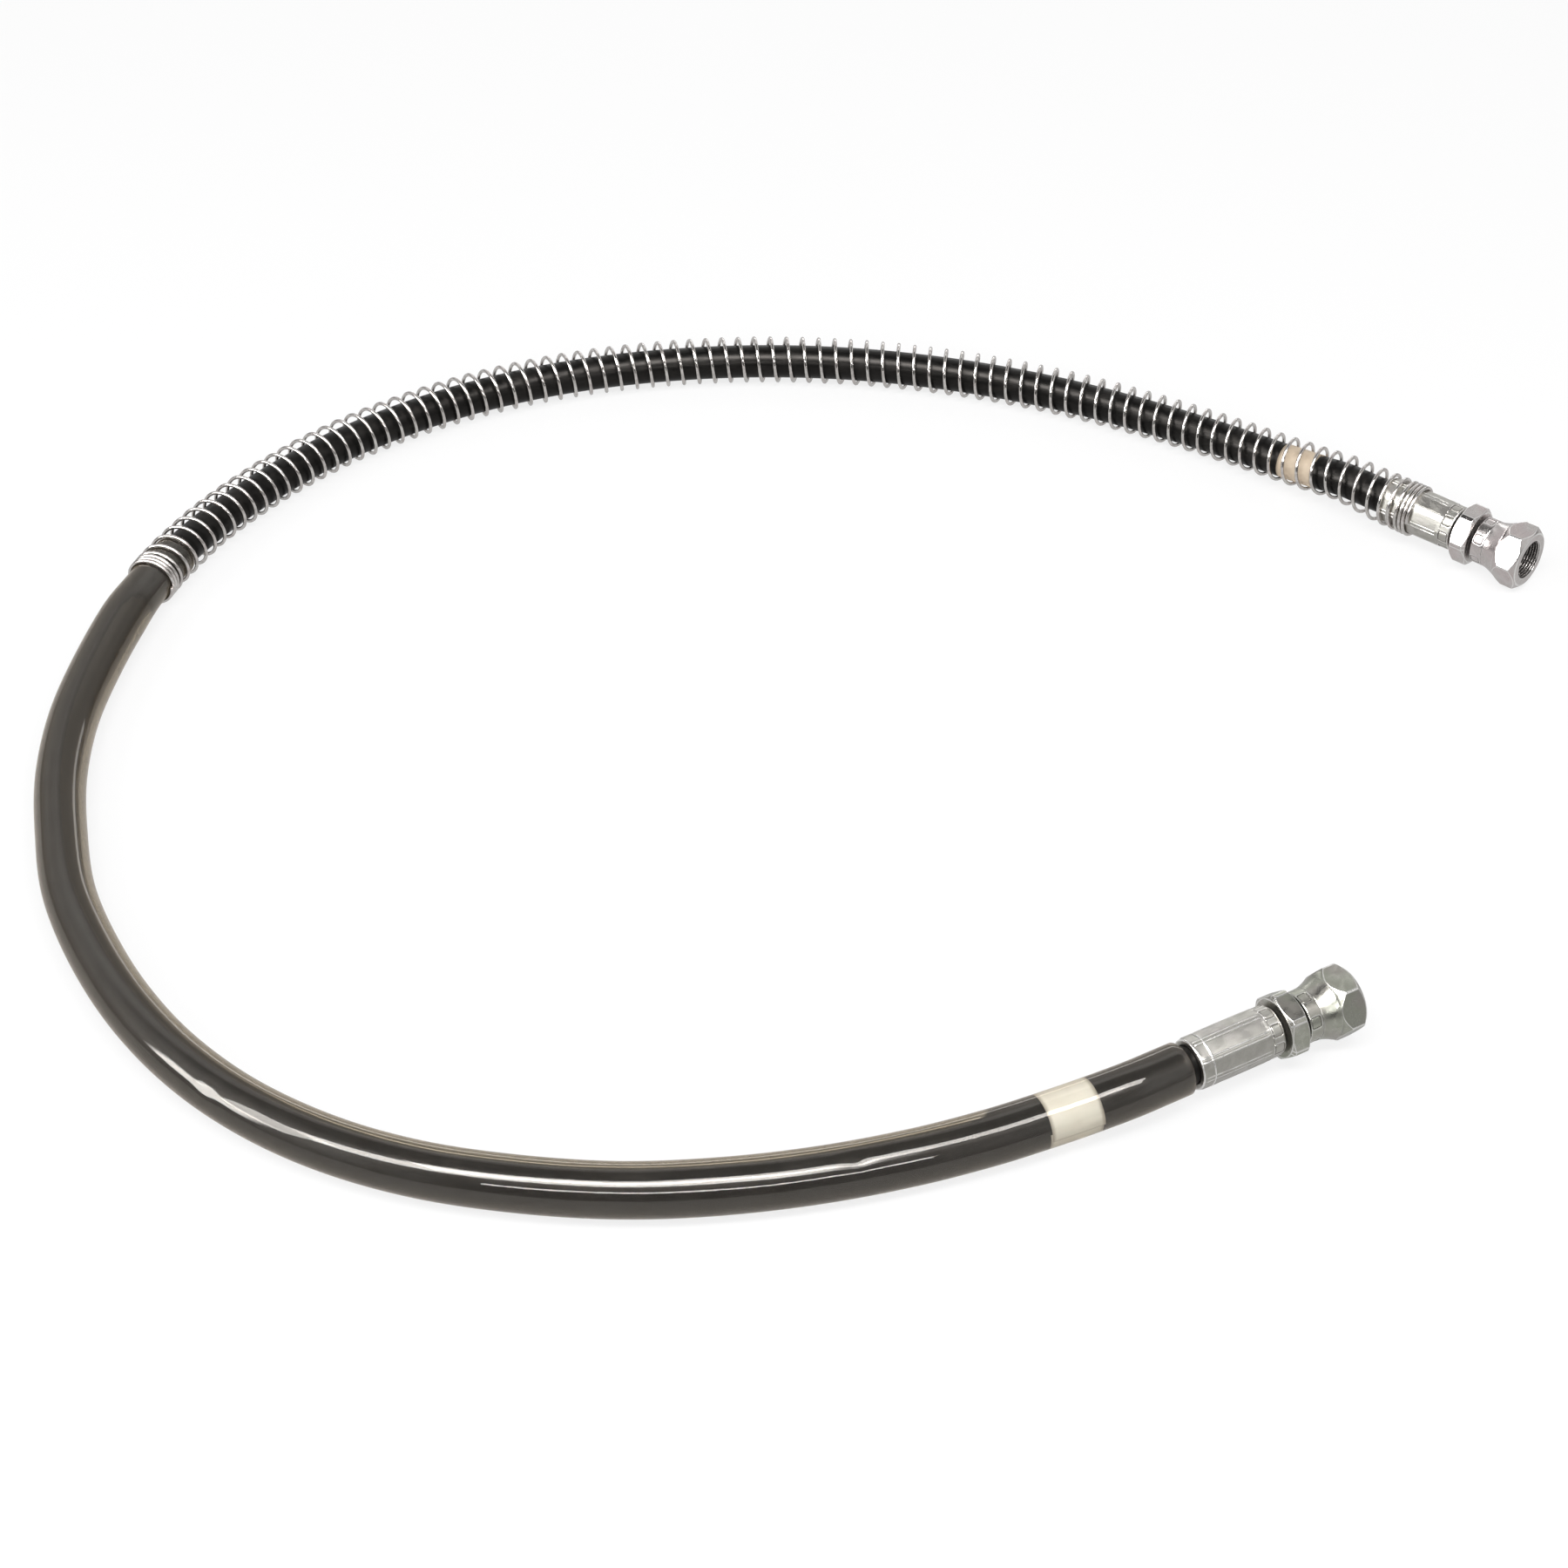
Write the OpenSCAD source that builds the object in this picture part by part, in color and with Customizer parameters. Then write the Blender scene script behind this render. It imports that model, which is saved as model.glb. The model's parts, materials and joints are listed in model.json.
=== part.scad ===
// Hydraulic hose assembly: a two-wire rubber hose laid in a U, with a steel spring guard on
// one leg, a clear sleeve on the other, and the same crimped swivel fitting at both ends.
// Millimetres, +Z up. The origin is under the middle of the U, on the floor.

/* [Hose] */
// Outer diameter of the rubber hose
hose_od = 19; // [18:0.1:21]
// Diameter of the hose's flow bore
hose_bore = 9.5; // [9:0.1:10]
// Wall of the smooth inner tube
tube_wall = 1.4; // [1.2:0.05:1.6]
// Thickness of each braided wire layer
braid_thick = 0.7; // [0.5:0.05:0.8]
// Thickness of the rubber between the two braids
interlayer_thick = 0.3; // [0.2:0.05:0.4]
// Gap between the hose's end and the stem's collar
hose_end_gap = 1; // [0.5:0.1:3]

/* [Spring guard] */
// Wire diameter of the spring guard
guard_wire = 2.0; // [1.6:0.1:2.4]
// Room between the hose and the inside of the open coils
guard_clear = 2.0; // [1.8:0.1:2.6]
// Distance from one open coil to the next
guard_pitch = 9.4; // [8:0.1:12]
// Gap between neighbouring closed coils
closed_gap = 0.45; // [0.1:0.05:0.6]
// Closed coils that grip the ferrule
ferrule_grip_turns = 4; // [3:1:7]
// Closed coils that grip the sleeve
sleeve_grip_turns = 4; // [3:1:6]
// Length of ferrule between its mouth and the closed coils' far end
guard_overlap = 20.5; // [16:0.5:22]

/* [Clear sleeve] */
// Wall of the clear sleeve
sleeve_wall = 3.25; // [2.8:0.05:3.6]
// Wall of the sleeve where the spring guard squeezes it
sleeve_grip_wall = 2.0; // [1.6:0.1:2.2]
// Room between the hose and the sleeve
sleeve_slack = 0.25; // [0.22:0.01:0.4]
// Length over which the sleeve opens out past the guard
sleeve_flare = 36; // [24:1:50]
// Bare hose between the sleeve and the ferrule
sleeve_gap = 4.5; // [3:0.5:12]

/* [Label bands] */
// Thickness of a label band
label_thick = 0.18; // [0.1:0.01:0.2]

/* [Ferrule] */
// Length of the crimped ferrule
ferrule_len = 46; // [44:0.5:50]
// Wall of the ferrule over the hose
ferrule_wall = 3.0; // [2.4:0.1:3.6]
// Thickness of the ferrule's closed end
ferrule_end = 4; // [3:0.5:5]
// Crimp segments round the ferrule
crimp_count = 8; // [6:1:10]
// Height of the ridges that the crimp dies leave
ridge_h = 0.35; // [0.2:0.05:0.5]
// Width of one ridge
ridge_w = 0.8; // [0.5:0.1:1.2]
// Gap between the two ridges of a pair
ridge_gap = 1.2; // [0.8:0.1:2]
// Depth of the pressed pockets on the ferrule and the nut
pocket_depth = 0.4; // [0.2:0.05:0.5]
// Length of a pressed pocket
pocket_len = 5; // [4:0.5:6]

/* [Stem] */
// Stem hexagon across flats
stem_hex_af = 30; // [28:0.5:32]
// Thickness of the stem hexagon
stem_hex_len = 10; // [8:0.5:12]
// Gap between the ferrule and the stem hexagon
hex_gap = 2; // [1:0.5:3]
// Diameter of the stem's flow bore
stem_bore = 6.6; // [5.5:0.1:7]
// Diameter of the neck in the ferrule's closed end
lock_neck_d = 12; // [11:0.5:14]
// Thickness of the collar behind the ferrule's closed end
collar_len = 2; // [1.5:0.1:3]
// Distance from the ferrule's mouth to the tip of the barbed tail
tail_setback = 4; // [2:0.5:8]
// Distance from one barb to the next
barb_pitch = 6; // [4:0.5:8]
// Diameter of the neck that the nut turns on
nut_neck_d = 15; // [14:0.1:15.6]
// Diameter of the flange that holds the nut
flange_d = 18.6; // [18:0.1:19]
// Thickness of that flange
flange_len = 3.5; // [3:0.1:4]
// Half angle of the sealing cone, degrees
cone_angle = 12; // [10:1:14]
// Cord diameter of the O-ring on the cone
seal_cord = 1.5; // [1.2:0.1:1.6]

/* [Swivel nut] */
// Nut hexagon across flats
nut_af = 32; // [30:0.5:36]
// Length of the whole nut
nut_len = 30; // [29:0.5:34]
// Gap between the stem hexagon and the nut
nut_gap = 2; // [1:0.5:3]
// Outer diameter of the nut's crimped tail
nut_tail_d = 26; // [23:0.5:27]
// Length of the tail before it flares
nut_tail_len = 7; // [5.5:0.5:8]
// Length of the concave flare from the tail to the hexagon
nut_flare_len = 8.5; // [6:0.5:9]
// Length of the conical chamfer behind the hexagon's corners
nut_rear_chamfer = 4.5; // [3:0.5:5.5]
// Length of the tail's lip behind the flange
nut_lip_len = 9.7; // [9:0.1:10.5]
// Bore of the internal thread, at its minor diameter (M22 x 1.5)
thread_minor = 20.376; // [20.2:0.002:20.6]
// Length of the internal thread
thread_len = 10; // [9:0.5:11]
// Chamfer at the nut's mouth
mouth_chamfer = 1; // [0.5:0.1:1.5]

/* [Hidden] */

layer_gap = 0.02;        // clearance between bonded layers and between seated pieces
run_clear = 0.1;         // running clearance of the nut on its neck
side_clear = 0.3;        // side clearance of the nut on its flange
hose_sides = 12;
round_fn = 96;

// ---- radii of the hose's layers ----
tube_r = hose_bore / 2 + tube_wall;
braid1_r = tube_r + layer_gap + braid_thick;
interlayer_r = braid1_r + layer_gap + interlayer_thick;
braid2_r = interlayer_r + layer_gap + braid_thick;
hose_r = hose_od / 2;
label_r = hose_r + layer_gap + label_thick;
sleeve_in_r = hose_r + sleeve_slack;
sleeve_r = sleeve_in_r + sleeve_wall;
sleeve_grip_r = sleeve_in_r + sleeve_grip_wall;

// ---- stations along a fitting, from the ferrule's mouth to the nut's face ----
ferrule_bore_r = hose_r + layer_gap;
insert_depth = ferrule_len - ferrule_end - collar_len - hose_end_gap;    // of hose in a ferrule
ferrule_r = hose_r + ferrule_wall;
ridge_r = ferrule_r + ridge_h;
hex0 = ferrule_len + hex_gap;
hex1 = hex0 + stem_hex_len;
nut0 = hex1 + nut_gap;
nut1 = nut0 + nut_len;
flange0 = nut0 + nut_lip_len + side_clear;
thread1 = nut1 - mouth_chamfer;
thread0 = thread1 - thread_len;
relief_len = 2;
relief0 = thread0 - relief_len;
nose = thread0 - 0.5;
cone0 = flange0 + flange_len;
cone0_r = flange_d / 2 - 0.8;
cone1_r = cone0_r - (nose - cone0) * tan(cone_angle);
nut_corner_r = nut_af * 0.571;       // corners turned down from the full hexagon
stem_corner_r = stem_hex_af * 0.555;

// ---- the guard's coils ----
steps_per_turn = 10;
wire_sides = 5;
chord_sag = 1 - cos(180 / steps_per_turn);
wire_r = guard_wire / 2;
function coil_over(r) = (r + layer_gap + wire_r) / (1 - chord_sag);
open_coil_r = hose_r + guard_clear + wire_r;
ferrule_coil_r = coil_over(ridge_r);
sleeve_coil_r = coil_over(sleeve_grip_r);
// the hose lies low in the open coils: this is how far its middle is under theirs
hose_drop = max(0.2, guard_clear - open_coil_r * chord_sag - 0.1);
closed_pitch = guard_wire + closed_gap;

// ---- heights of the hose's middle over the floor, by what carries it ----
floor_gap = 0.1;
carried = [nut_corner_r + floor_gap,                   // 0: the fitting at the guard end
           open_coil_r + wire_r - hose_drop,           // 1: the guard's open coils
           sleeve_coil_r + wire_r + floor_gap,         // 2: the closed coils on the sleeve
           sleeve_r,                                   // 3: the sleeve itself
           nut_corner_r + floor_gap];                  // 4: the fitting at the sleeve end
function height(stage) = lookup(stage, [for (i = [0:4]) [i, carried[i]]]);

// ---- the route: x, y and the stage that carries the hose there ----
guard_mouth = [318.2, 184.7];
guard_yaw = -39.9;
sleeve_mouth = [166.7, -262.2];
sleeve_yaw = 30;
straight_run = 25;
free_points = [
    [284, 212.6, 0.3], [266, 226.7, 0.6], [229, 253.1, 0.9], [190, 276.1, 1], [149, 296, 1],
    [107, 311.6, 1], [64, 323.2, 1], [19, 330.8, 1], [-26, 333.4, 1], [-70, 331.1, 1],
    [-115, 324, 1], [-158, 312, 1], [-200, 294.2, 1], [-238, 271.5, 1], [-273, 244, 1],
    [-304, 211, 1.1], [-330, 175, 1.4], [-350, 138, 1.95], [-361, 111, 2], [-370, 83, 2.3],
    [-379, 39, 2.8], [-384, -5, 3], [-383, -50, 3], [-376, -94, 3], [-365, -138, 3],
    [-347, -179, 3], [-324, -218, 3], [-296, -253, 3], [-262, -283, 3], [-224, -306, 3],
    [-182, -322, 3], [-138, -331, 3], [-93, -335, 3], [-48, -333, 3], [-3, -326, 3],
    [40, -315, 3], [73, -304, 3.1], [97.5, -294.6, 3.3], [121.5, -284.9, 3.6]];
guard_label_at = 3;      // rings of the route where the first label band starts,
sleeve_start_at = 20;    // the sleeve starts inside the guard,
guard_end_at = 21;       // the guard ends
sleeve_label_at = 40;    // and the second label band starts

function heading(yaw) = [cos(yaw), sin(yaw), 0];
function along(mouth, yaw, x, stage) = [mouth[0], mouth[1], height(stage)] + heading(yaw) * x;
route = concat(
    [along(guard_mouth, guard_yaw, insert_depth, 0), along(guard_mouth, guard_yaw, 0, 0),
     along(guard_mouth, guard_yaw, -straight_run, 0)],
    [for (p = free_points) [p[0], p[1], height(p[2])]],
    [along(sleeve_mouth, sleeve_yaw, -straight_run, 4),
     along(sleeve_mouth, sleeve_yaw, -sleeve_gap, 4),
     along(sleeve_mouth, sleeve_yaw, 0, 4), along(sleeve_mouth, sleeve_yaw, insert_depth, 4)]);
last = len(route) - 1;
sleeve_end_at = last - 2;                // the ring before the sleeve end's ferrule

// ---- a smooth curve through the route, by distance along it ----
function unit(v) = v / norm(v);
function sums(i = 0, total = 0) =
    i > last ? [] : concat([total], sums(i + 1, total + (i < last ? norm(route[i + 1] - route[i]) : 0)));
dist = sums();
ring_of = [for (i = [0:last]) [dist[i], i]];
function slope(i) = (route[min(i + 1, last)] - route[max(i - 1, 0)])
                    / (dist[min(i + 1, last)] - dist[max(i - 1, 0)]);
slopes = [for (i = [0:last])
    i <= 2 ? -heading(guard_yaw) : i >= last - 3 ? heading(sleeve_yaw) : slope(i)];
function hermite(i, f, step) =
    (2 * pow(f, 3) - 3 * pow(f, 2) + 1) * route[i] + (pow(f, 3) - 2 * pow(f, 2) + f) * step * slopes[i]
    + (3 * pow(f, 2) - 2 * pow(f, 3)) * route[i + 1] + (pow(f, 3) - pow(f, 2)) * step * slopes[i + 1];
function curve_at(s) = let (u = lookup(s, ring_of), i = min(floor(u), last - 1))
    hermite(i, u - i, dist[i + 1] - dist[i]);
function side_of(t) = unit(cross([0, 0, 1], t));
function up_of(t) = cross(t, side_of(t));

// ---- swept tubes: one ring of points at each ring of the route ----
function ring(i, r) = let (t = unit(slopes[i]), s = side_of(t), u = up_of(t))
    [for (k = [0:hose_sides - 1]) let (a = 360 * k / hose_sides)
        route[i] + r * (cos(a) * s + sin(a) * u)];
// radii is a list of [inner, outer], one for each ring from first on
module swept_tube(first, radii) {
    n = len(radii);
    m = hose_sides;
    inner = [for (j = [0:n - 1]) each ring(first + j, radii[j][0])];
    outer = [for (j = [0:n - 1]) each ring(first + j, radii[j][1])];
    in0 = n * m;
    function at(j, k) = j * m + k % m;
    polyhedron(points = concat(outer, inner), convexity = 10, faces = concat(
        [for (j = [0:n - 2], k = [0:m - 1]) each
            [[at(j, k), at(j, k + 1), at(j + 1, k + 1)], [at(j, k), at(j + 1, k + 1), at(j + 1, k)]]],
        [for (j = [0:n - 2], k = [0:m - 1]) each
            [[in0 + at(j, k), in0 + at(j + 1, k + 1), in0 + at(j, k + 1)],
             [in0 + at(j, k), in0 + at(j + 1, k), in0 + at(j + 1, k + 1)]]],
        [for (k = [0:m - 1]) each
            [[at(0, k), in0 + at(0, k), in0 + at(0, k + 1)],
             [at(0, k), in0 + at(0, k + 1), at(0, k + 1)],
             [at(n - 1, k), in0 + at(n - 1, k + 1), in0 + at(n - 1, k)],
             [at(n - 1, k), at(n - 1, k + 1), in0 + at(n - 1, k + 1)]]]));
}
module hose_layer(r_in, r_out) swept_tube(0, [for (i = [0:last]) [r_in, r_out]]);

module inner_tube() { color("#26241f") hose_layer(hose_bore / 2, tube_r); }
module inner_wire_braid() { color("#8d8a80") hose_layer(tube_r + layer_gap, braid1_r); }
module rubber_interlayer() { color("#2b2a28") hose_layer(braid1_r + layer_gap, interlayer_r); }
module outer_wire_braid() { color("#8d8a80") hose_layer(interlayer_r + layer_gap, braid2_r); }
module hose_cover() { color("#1b1c1e") hose_layer(braid2_r + layer_gap, hose_r); }

module clear_sleeve() {
    opening = [[0, sleeve_grip_r], [dist[guard_end_at] - dist[sleeve_start_at], sleeve_grip_r],
               [dist[guard_end_at] - dist[sleeve_start_at] + sleeve_flare, sleeve_r]];
    color("#4a4540", 0.7) swept_tube(sleeve_start_at, [for (i = [sleeve_start_at:sleeve_end_at])
        [sleeve_in_r, lookup(dist[i] - dist[sleeve_start_at], opening)]]);
}
module label_band(first) {
    color("#d9cfb4") swept_tube(first, [for (i = [0:1]) [hose_r + layer_gap, label_r]]);
}

// ---- the guard: a round wire wound along the same curve ----
guard_s0 = dist[1] - guard_overlap;
open_s0 = guard_s0 + ferrule_grip_turns * closed_pitch;
guard_s1 = dist[guard_end_at] - closed_gap;
open_s1 = guard_s1 - sleeve_grip_turns * closed_pitch;
open_turns = floor((open_s1 - open_s0) / guard_pitch + 0.5);
turns = ferrule_grip_turns + open_turns + sleeve_grip_turns;
wound = [[0, guard_s0], [ferrule_grip_turns, open_s0],
         [ferrule_grip_turns + open_turns, open_s1], [turns, guard_s1]];
grip_blend = 30;         // distance in which the coils close in on what they grip
coil_sizes = [[dist[1] + guard_wire, ferrule_coil_r], [dist[1] + grip_blend, open_coil_r],
              [dist[sleeve_start_at] - grip_blend, open_coil_r],
              [dist[sleeve_start_at] - guard_wire, sleeve_coil_r]];
coil_lifts = [[dist[1] + guard_wire, 0], [dist[1] + grip_blend, hose_drop],
              [dist[sleeve_start_at] - grip_blend, hose_drop],
              [dist[sleeve_start_at] - guard_wire, 0]];
function wire_at(n) = let (s = lookup(n, wound), p = curve_at(s), q = curve_at(s + 0.5),
                           t = unit(q - p), u = up_of(t), out = cos(360 * n) * side_of(t) + sin(360 * n) * u)
    [p + lookup(s, coil_lifts) * u + lookup(s, coil_sizes) * out, out];
module spring_guard() {
    count = turns * steps_per_turn;
    w = [for (j = [0:count]) wire_at(j / steps_per_turn)];
    m = wire_sides;
    points = [for (j = [0:count]) let (t = unit(w[min(j + 1, count)][0] - w[max(j - 1, 0)][0]),
                                       b = unit(cross(t, w[j][1])), a = cross(b, t))
        for (k = [0:m - 1]) w[j][0] + wire_r * (cos(360 * k / m) * a + sin(360 * k / m) * b)];
    color("#c9c9cc") polyhedron(points = points, convexity = 10, faces = concat(
        [for (j = [0:count - 1], k = [0:m - 1]) each
            [[j * m + k, (j + 1) * m + k, (j + 1) * m + (k + 1) % m],
             [j * m + k, (j + 1) * m + (k + 1) % m, j * m + (k + 1) % m]]],
        [[for (k = [0:m - 1]) k], [for (k = [m - 1:-1:0]) count * m + k]]));
}

// ---- fittings: drawn along +X from the ferrule's mouth, then put on the route's end ----
module guard_fitting() translate(along(guard_mouth, guard_yaw, 0, 0)) rotate([0, 0, guard_yaw])
    children();
module sleeve_fitting() translate(along(sleeve_mouth, sleeve_yaw, 0, 4)) rotate([0, 0, sleeve_yaw])
    children();
// a solid of revolution about X; each point of the outline is [radius, x]
module turned(outline) rotate([0, 90, 0]) rotate_extrude($fn = round_fn) polygon(outline);
module bore(d, x0, x1) translate([x0, 0, 0]) rotate([0, 90, 0]) cylinder(d = d, h = x1 - x0, $fn = round_fn);
module hexagon(af, x0, x1) translate([x0, 0, 0]) rotate([0, 90, 0])
    cylinder(d = af / cos(30), h = x1 - x0, $fn = 6);
// blocks round the axis, each standing on radius r
module blocks_round(count, x0, length, width, r, height, turn = 0)
    for (k = [0:count - 1]) rotate([360 * (k + turn) / count, 0, 0])
        translate([x0, -width / 2, r]) cube([length, width, height]);

module ferrule() {
    lip = 1.2;
    ring_at = 6;
    pocket0 = ferrule_len - pocket_len - 0.8;
    ridge_len = pocket0 - lip - 1;
    root_r = ferrule_r - 1;
    difference() {
        union() {
            turned([[0, 0], [ferrule_r - lip, 0], [ferrule_r - 0.35, 0.35], [ferrule_r, lip],
                    [ferrule_r, ferrule_len - 1], [ferrule_r - 1, ferrule_len], [0, ferrule_len]]);
            turned([[0, ring_at], [ridge_r, ring_at], [ridge_r, ring_at + ridge_w], [0, ring_at + ridge_w]]);
            for (side = [-1, 1]) rotate([side * (ridge_w + ridge_gap) / 2 / ferrule_r * 180 / PI, 0, 0])
                blocks_round(crimp_count, lip, ridge_len, ridge_w, root_r, ridge_r - root_r - 0.02);
        }
        blocks_round(crimp_count, pocket0, pocket_len, ferrule_r * 0.42, ferrule_r - pocket_depth,
                     ferrule_wall);
        bore(2 * ferrule_bore_r, -1, ferrule_len - ferrule_end);
        bore(lock_neck_d + 2 * layer_gap, -1, ferrule_len + 1);
    }
}

module stem() {
    tail_r = (hose_bore / 2) * cos(180 / hose_sides) - layer_gap;
    barb = 0.35;
    barb0 = tail_setback + barb_pitch * 2 / 3;
    collar0 = ferrule_len - ferrule_end - collar_len;
    collar1 = collar0 + collar_len - layer_gap;
    collar_r = lock_neck_d / 2 + 1;
    washer_r = nut_neck_d / 2 + 1;
    chamfer = 1.4;
    groove_w = seal_cord + 0.4;
    groove0 = (cone0 + nose - groove_w) / 2;
    groove_r = cone1_r - 0.4;
    difference() {
        union() {
            turned(concat([[0, tail_setback], [tail_r - 0.8, tail_setback], [tail_r, tail_setback + 1]],
                [for (x = [barb0:barb_pitch:collar0 - barb_pitch]) each
                    [[tail_r, x], [tail_r - barb, x + 0.01], [tail_r, x + barb_pitch / 2]]],
                [[tail_r, collar0], [collar_r, collar0], [collar_r, collar1],
                 [lock_neck_d / 2, collar1], [lock_neck_d / 2, ferrule_len + layer_gap],
                 [washer_r, ferrule_len + layer_gap], [washer_r, hex1], [nut_neck_d / 2, hex1],
                 [nut_neck_d / 2, flange0], [flange_d / 2, flange0], [flange_d / 2, cone0],
                 [cone0_r, cone0], [cone1_r, nose], [0, nose]]));
            intersection() {
                hexagon(stem_hex_af, hex0, hex1);
                turned([[0, hex0], [stem_corner_r - chamfer * 1.5, hex0], [stem_corner_r, hex0 + chamfer],
                        [stem_corner_r, hex1 - chamfer], [stem_corner_r - chamfer * 1.5, hex1], [0, hex1]]);
            }
        }
        difference() {
            bore(flange_d + 2, groove0, groove0 + groove_w);
            bore(2 * groove_r, groove0 - 1, groove0 + groove_w + 1);
        }
        bore(stem_bore, tail_setback - 1, nose + 1);
    }
}

module seal_ring() {
    groove_mid = (cone0 + nose) / 2;
    rotate([0, 90, 0]) translate([0, 0, groove_mid]) rotate_extrude($fn = round_fn)
        translate([cone1_r - 0.4 + layer_gap + seal_cord / 2, 0]) circle(d = seal_cord, $fn = 32);
}

module swivel_nut() {
    tail1 = nut0 + nut_tail_len;
    flare1 = tail1 + nut_flare_len;
    tail_r = nut_tail_d / 2;
    face_r = nut_af * 0.475;
    crown = nut_corner_r - face_r;
    cavity_r = flange_d / 2 + side_clear;
    // the flare is hollow, and ends in a ring edge just inside the hexagon's flats
    flare_r = nut_af * 0.49;
    flare = [for (s = [0:0.1:1]) [tail_r + (flare_r - tail_r) * pow(s, 1.5), tail1 + nut_flare_len * s]];
    difference() {
        intersection() {
            hexagon(nut_af, nut0, nut1);
            turned(concat([[0, nut0], [tail_r - 0.6, nut0], [tail_r, nut0 + 0.6]], flare,
                [[nut_corner_r, flare1 + nut_rear_chamfer],
                 [nut_corner_r, nut1 - crown], [face_r + crown * 0.3, nut1 - crown * 0.25],
                 [face_r, nut1], [0, nut1]]));
        }
        blocks_round(6, nut0 - 1, pocket_len + 1, tail_r * 0.45, tail_r - pocket_depth, tail_r, 0.5);
        bore(nut_neck_d + 2 * run_clear, nut0 - 1, nut0 + nut_lip_len + 0.1);
        bore(2 * cavity_r, nut0 + nut_lip_len, relief0 + 0.1);
        bore(thread_minor + 2, relief0, thread0);
        bore(thread_minor, thread0 - 0.1, nut1 + 1);
        turned([[0, thread1], [thread_minor / 2, thread1],
                [thread_minor / 2 + 2 * mouth_chamfer, nut1 + mouth_chamfer], [0, nut1 + mouth_chamfer]]);
    }
}

// how far each hexagon is turned on its axis where the assembly lies
guard_end_turn = 25;
sleeve_end_turn = 34;
module turn(angle) rotate([angle, 0, 0]) children();
module ferrule_guard_end() { color("#b9b6ae") guard_fitting() ferrule(); }
module ferrule_sleeve_end() { color("#b9b6ae") sleeve_fitting() ferrule(); }
module stem_guard_end() { color("#c4c1bd") guard_fitting() turn(guard_end_turn) stem(); }
module stem_sleeve_end() { color("#c4c1bd") sleeve_fitting() turn(sleeve_end_turn) stem(); }
module seal_ring_guard_end() { color("#141414") guard_fitting() seal_ring(); }
module seal_ring_sleeve_end() { color("#141414") sleeve_fitting() seal_ring(); }
module swivel_nut_guard_end() { color("#c8c4c2") guard_fitting() turn(guard_end_turn) swivel_nut(); }
module swivel_nut_sleeve_end() { color("#c8c4c2") sleeve_fitting() turn(sleeve_end_turn) swivel_nut(); }

inner_tube();
inner_wire_braid();
rubber_interlayer();
outer_wire_braid();
hose_cover();
spring_guard();
clear_sleeve();
label_band(guard_label_at);  // label_band_guard_end
label_band(sleeve_label_at);  // label_band_sleeve_end
ferrule_guard_end();
ferrule_sleeve_end();
stem_guard_end();
stem_sleeve_end();
seal_ring_guard_end();
seal_ring_sleeve_end();
swivel_nut_guard_end();
swivel_nut_sleeve_end();
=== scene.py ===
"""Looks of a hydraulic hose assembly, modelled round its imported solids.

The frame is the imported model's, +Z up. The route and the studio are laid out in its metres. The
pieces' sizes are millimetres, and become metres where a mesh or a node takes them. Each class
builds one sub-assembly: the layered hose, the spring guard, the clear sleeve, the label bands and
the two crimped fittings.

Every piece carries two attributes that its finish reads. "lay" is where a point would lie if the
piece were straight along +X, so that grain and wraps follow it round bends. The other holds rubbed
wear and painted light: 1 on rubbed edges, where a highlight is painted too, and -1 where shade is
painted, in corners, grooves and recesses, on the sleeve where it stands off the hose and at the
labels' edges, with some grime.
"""

from __future__ import annotations

import json
import logging
import math
from collections.abc import Callable, Mapping, Sequence
from dataclasses import dataclass, field
from enum import Enum
from typing import Any

import bpy
import numpy as np
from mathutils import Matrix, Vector, noise

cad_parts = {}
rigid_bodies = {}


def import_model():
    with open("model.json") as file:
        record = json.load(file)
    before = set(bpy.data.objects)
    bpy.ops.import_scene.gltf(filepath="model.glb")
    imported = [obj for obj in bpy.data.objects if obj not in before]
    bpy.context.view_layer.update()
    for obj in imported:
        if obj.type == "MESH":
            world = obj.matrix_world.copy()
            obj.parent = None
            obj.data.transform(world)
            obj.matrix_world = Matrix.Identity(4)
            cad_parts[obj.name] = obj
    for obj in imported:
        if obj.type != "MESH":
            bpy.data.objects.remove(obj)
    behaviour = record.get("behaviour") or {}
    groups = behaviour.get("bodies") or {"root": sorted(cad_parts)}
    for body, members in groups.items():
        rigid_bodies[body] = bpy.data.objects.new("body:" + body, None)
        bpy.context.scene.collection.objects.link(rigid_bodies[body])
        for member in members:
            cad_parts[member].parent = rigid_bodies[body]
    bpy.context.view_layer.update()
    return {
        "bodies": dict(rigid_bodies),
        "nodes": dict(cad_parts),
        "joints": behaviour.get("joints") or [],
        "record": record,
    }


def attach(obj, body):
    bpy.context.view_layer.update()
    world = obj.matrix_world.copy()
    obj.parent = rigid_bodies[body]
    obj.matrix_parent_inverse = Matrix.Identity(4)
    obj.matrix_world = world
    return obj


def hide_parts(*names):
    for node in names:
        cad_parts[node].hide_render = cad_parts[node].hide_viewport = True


MM = 0.001
FULL_TURN = 2 * math.pi
UP = np.array((0.0, 0.0, 1.0))
log = logging.getLogger("hose_assembly")

Colour = tuple[float, float, float]
Loop = list[tuple[float, float, float]]  # station, radius, and rubbed wear with painted light, of each point
Stops = tuple[tuple[float, float], ...]  # place and level of each stop
Socket = bpy.types.NodeSocket
Term = Any  # a Value, a socket or a plain number


# ---------------------------------------------------------------------------- node trees


def operator(operation: str, swapped: bool = False) -> Callable[[Value, Term], Value]:
    """Makes the method behind one of Python's operators.

    Args:
        operation: The Math node's operation.
        swapped: Whether the other number comes first.

    Returns:
        The method.
    """

    def method(self: Value, other: Term) -> Value:
        """Feeds both numbers to a new Math node."""
        return self.tree.math(operation, *((other, self) if swapped else (self, other)))

    return method


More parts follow.
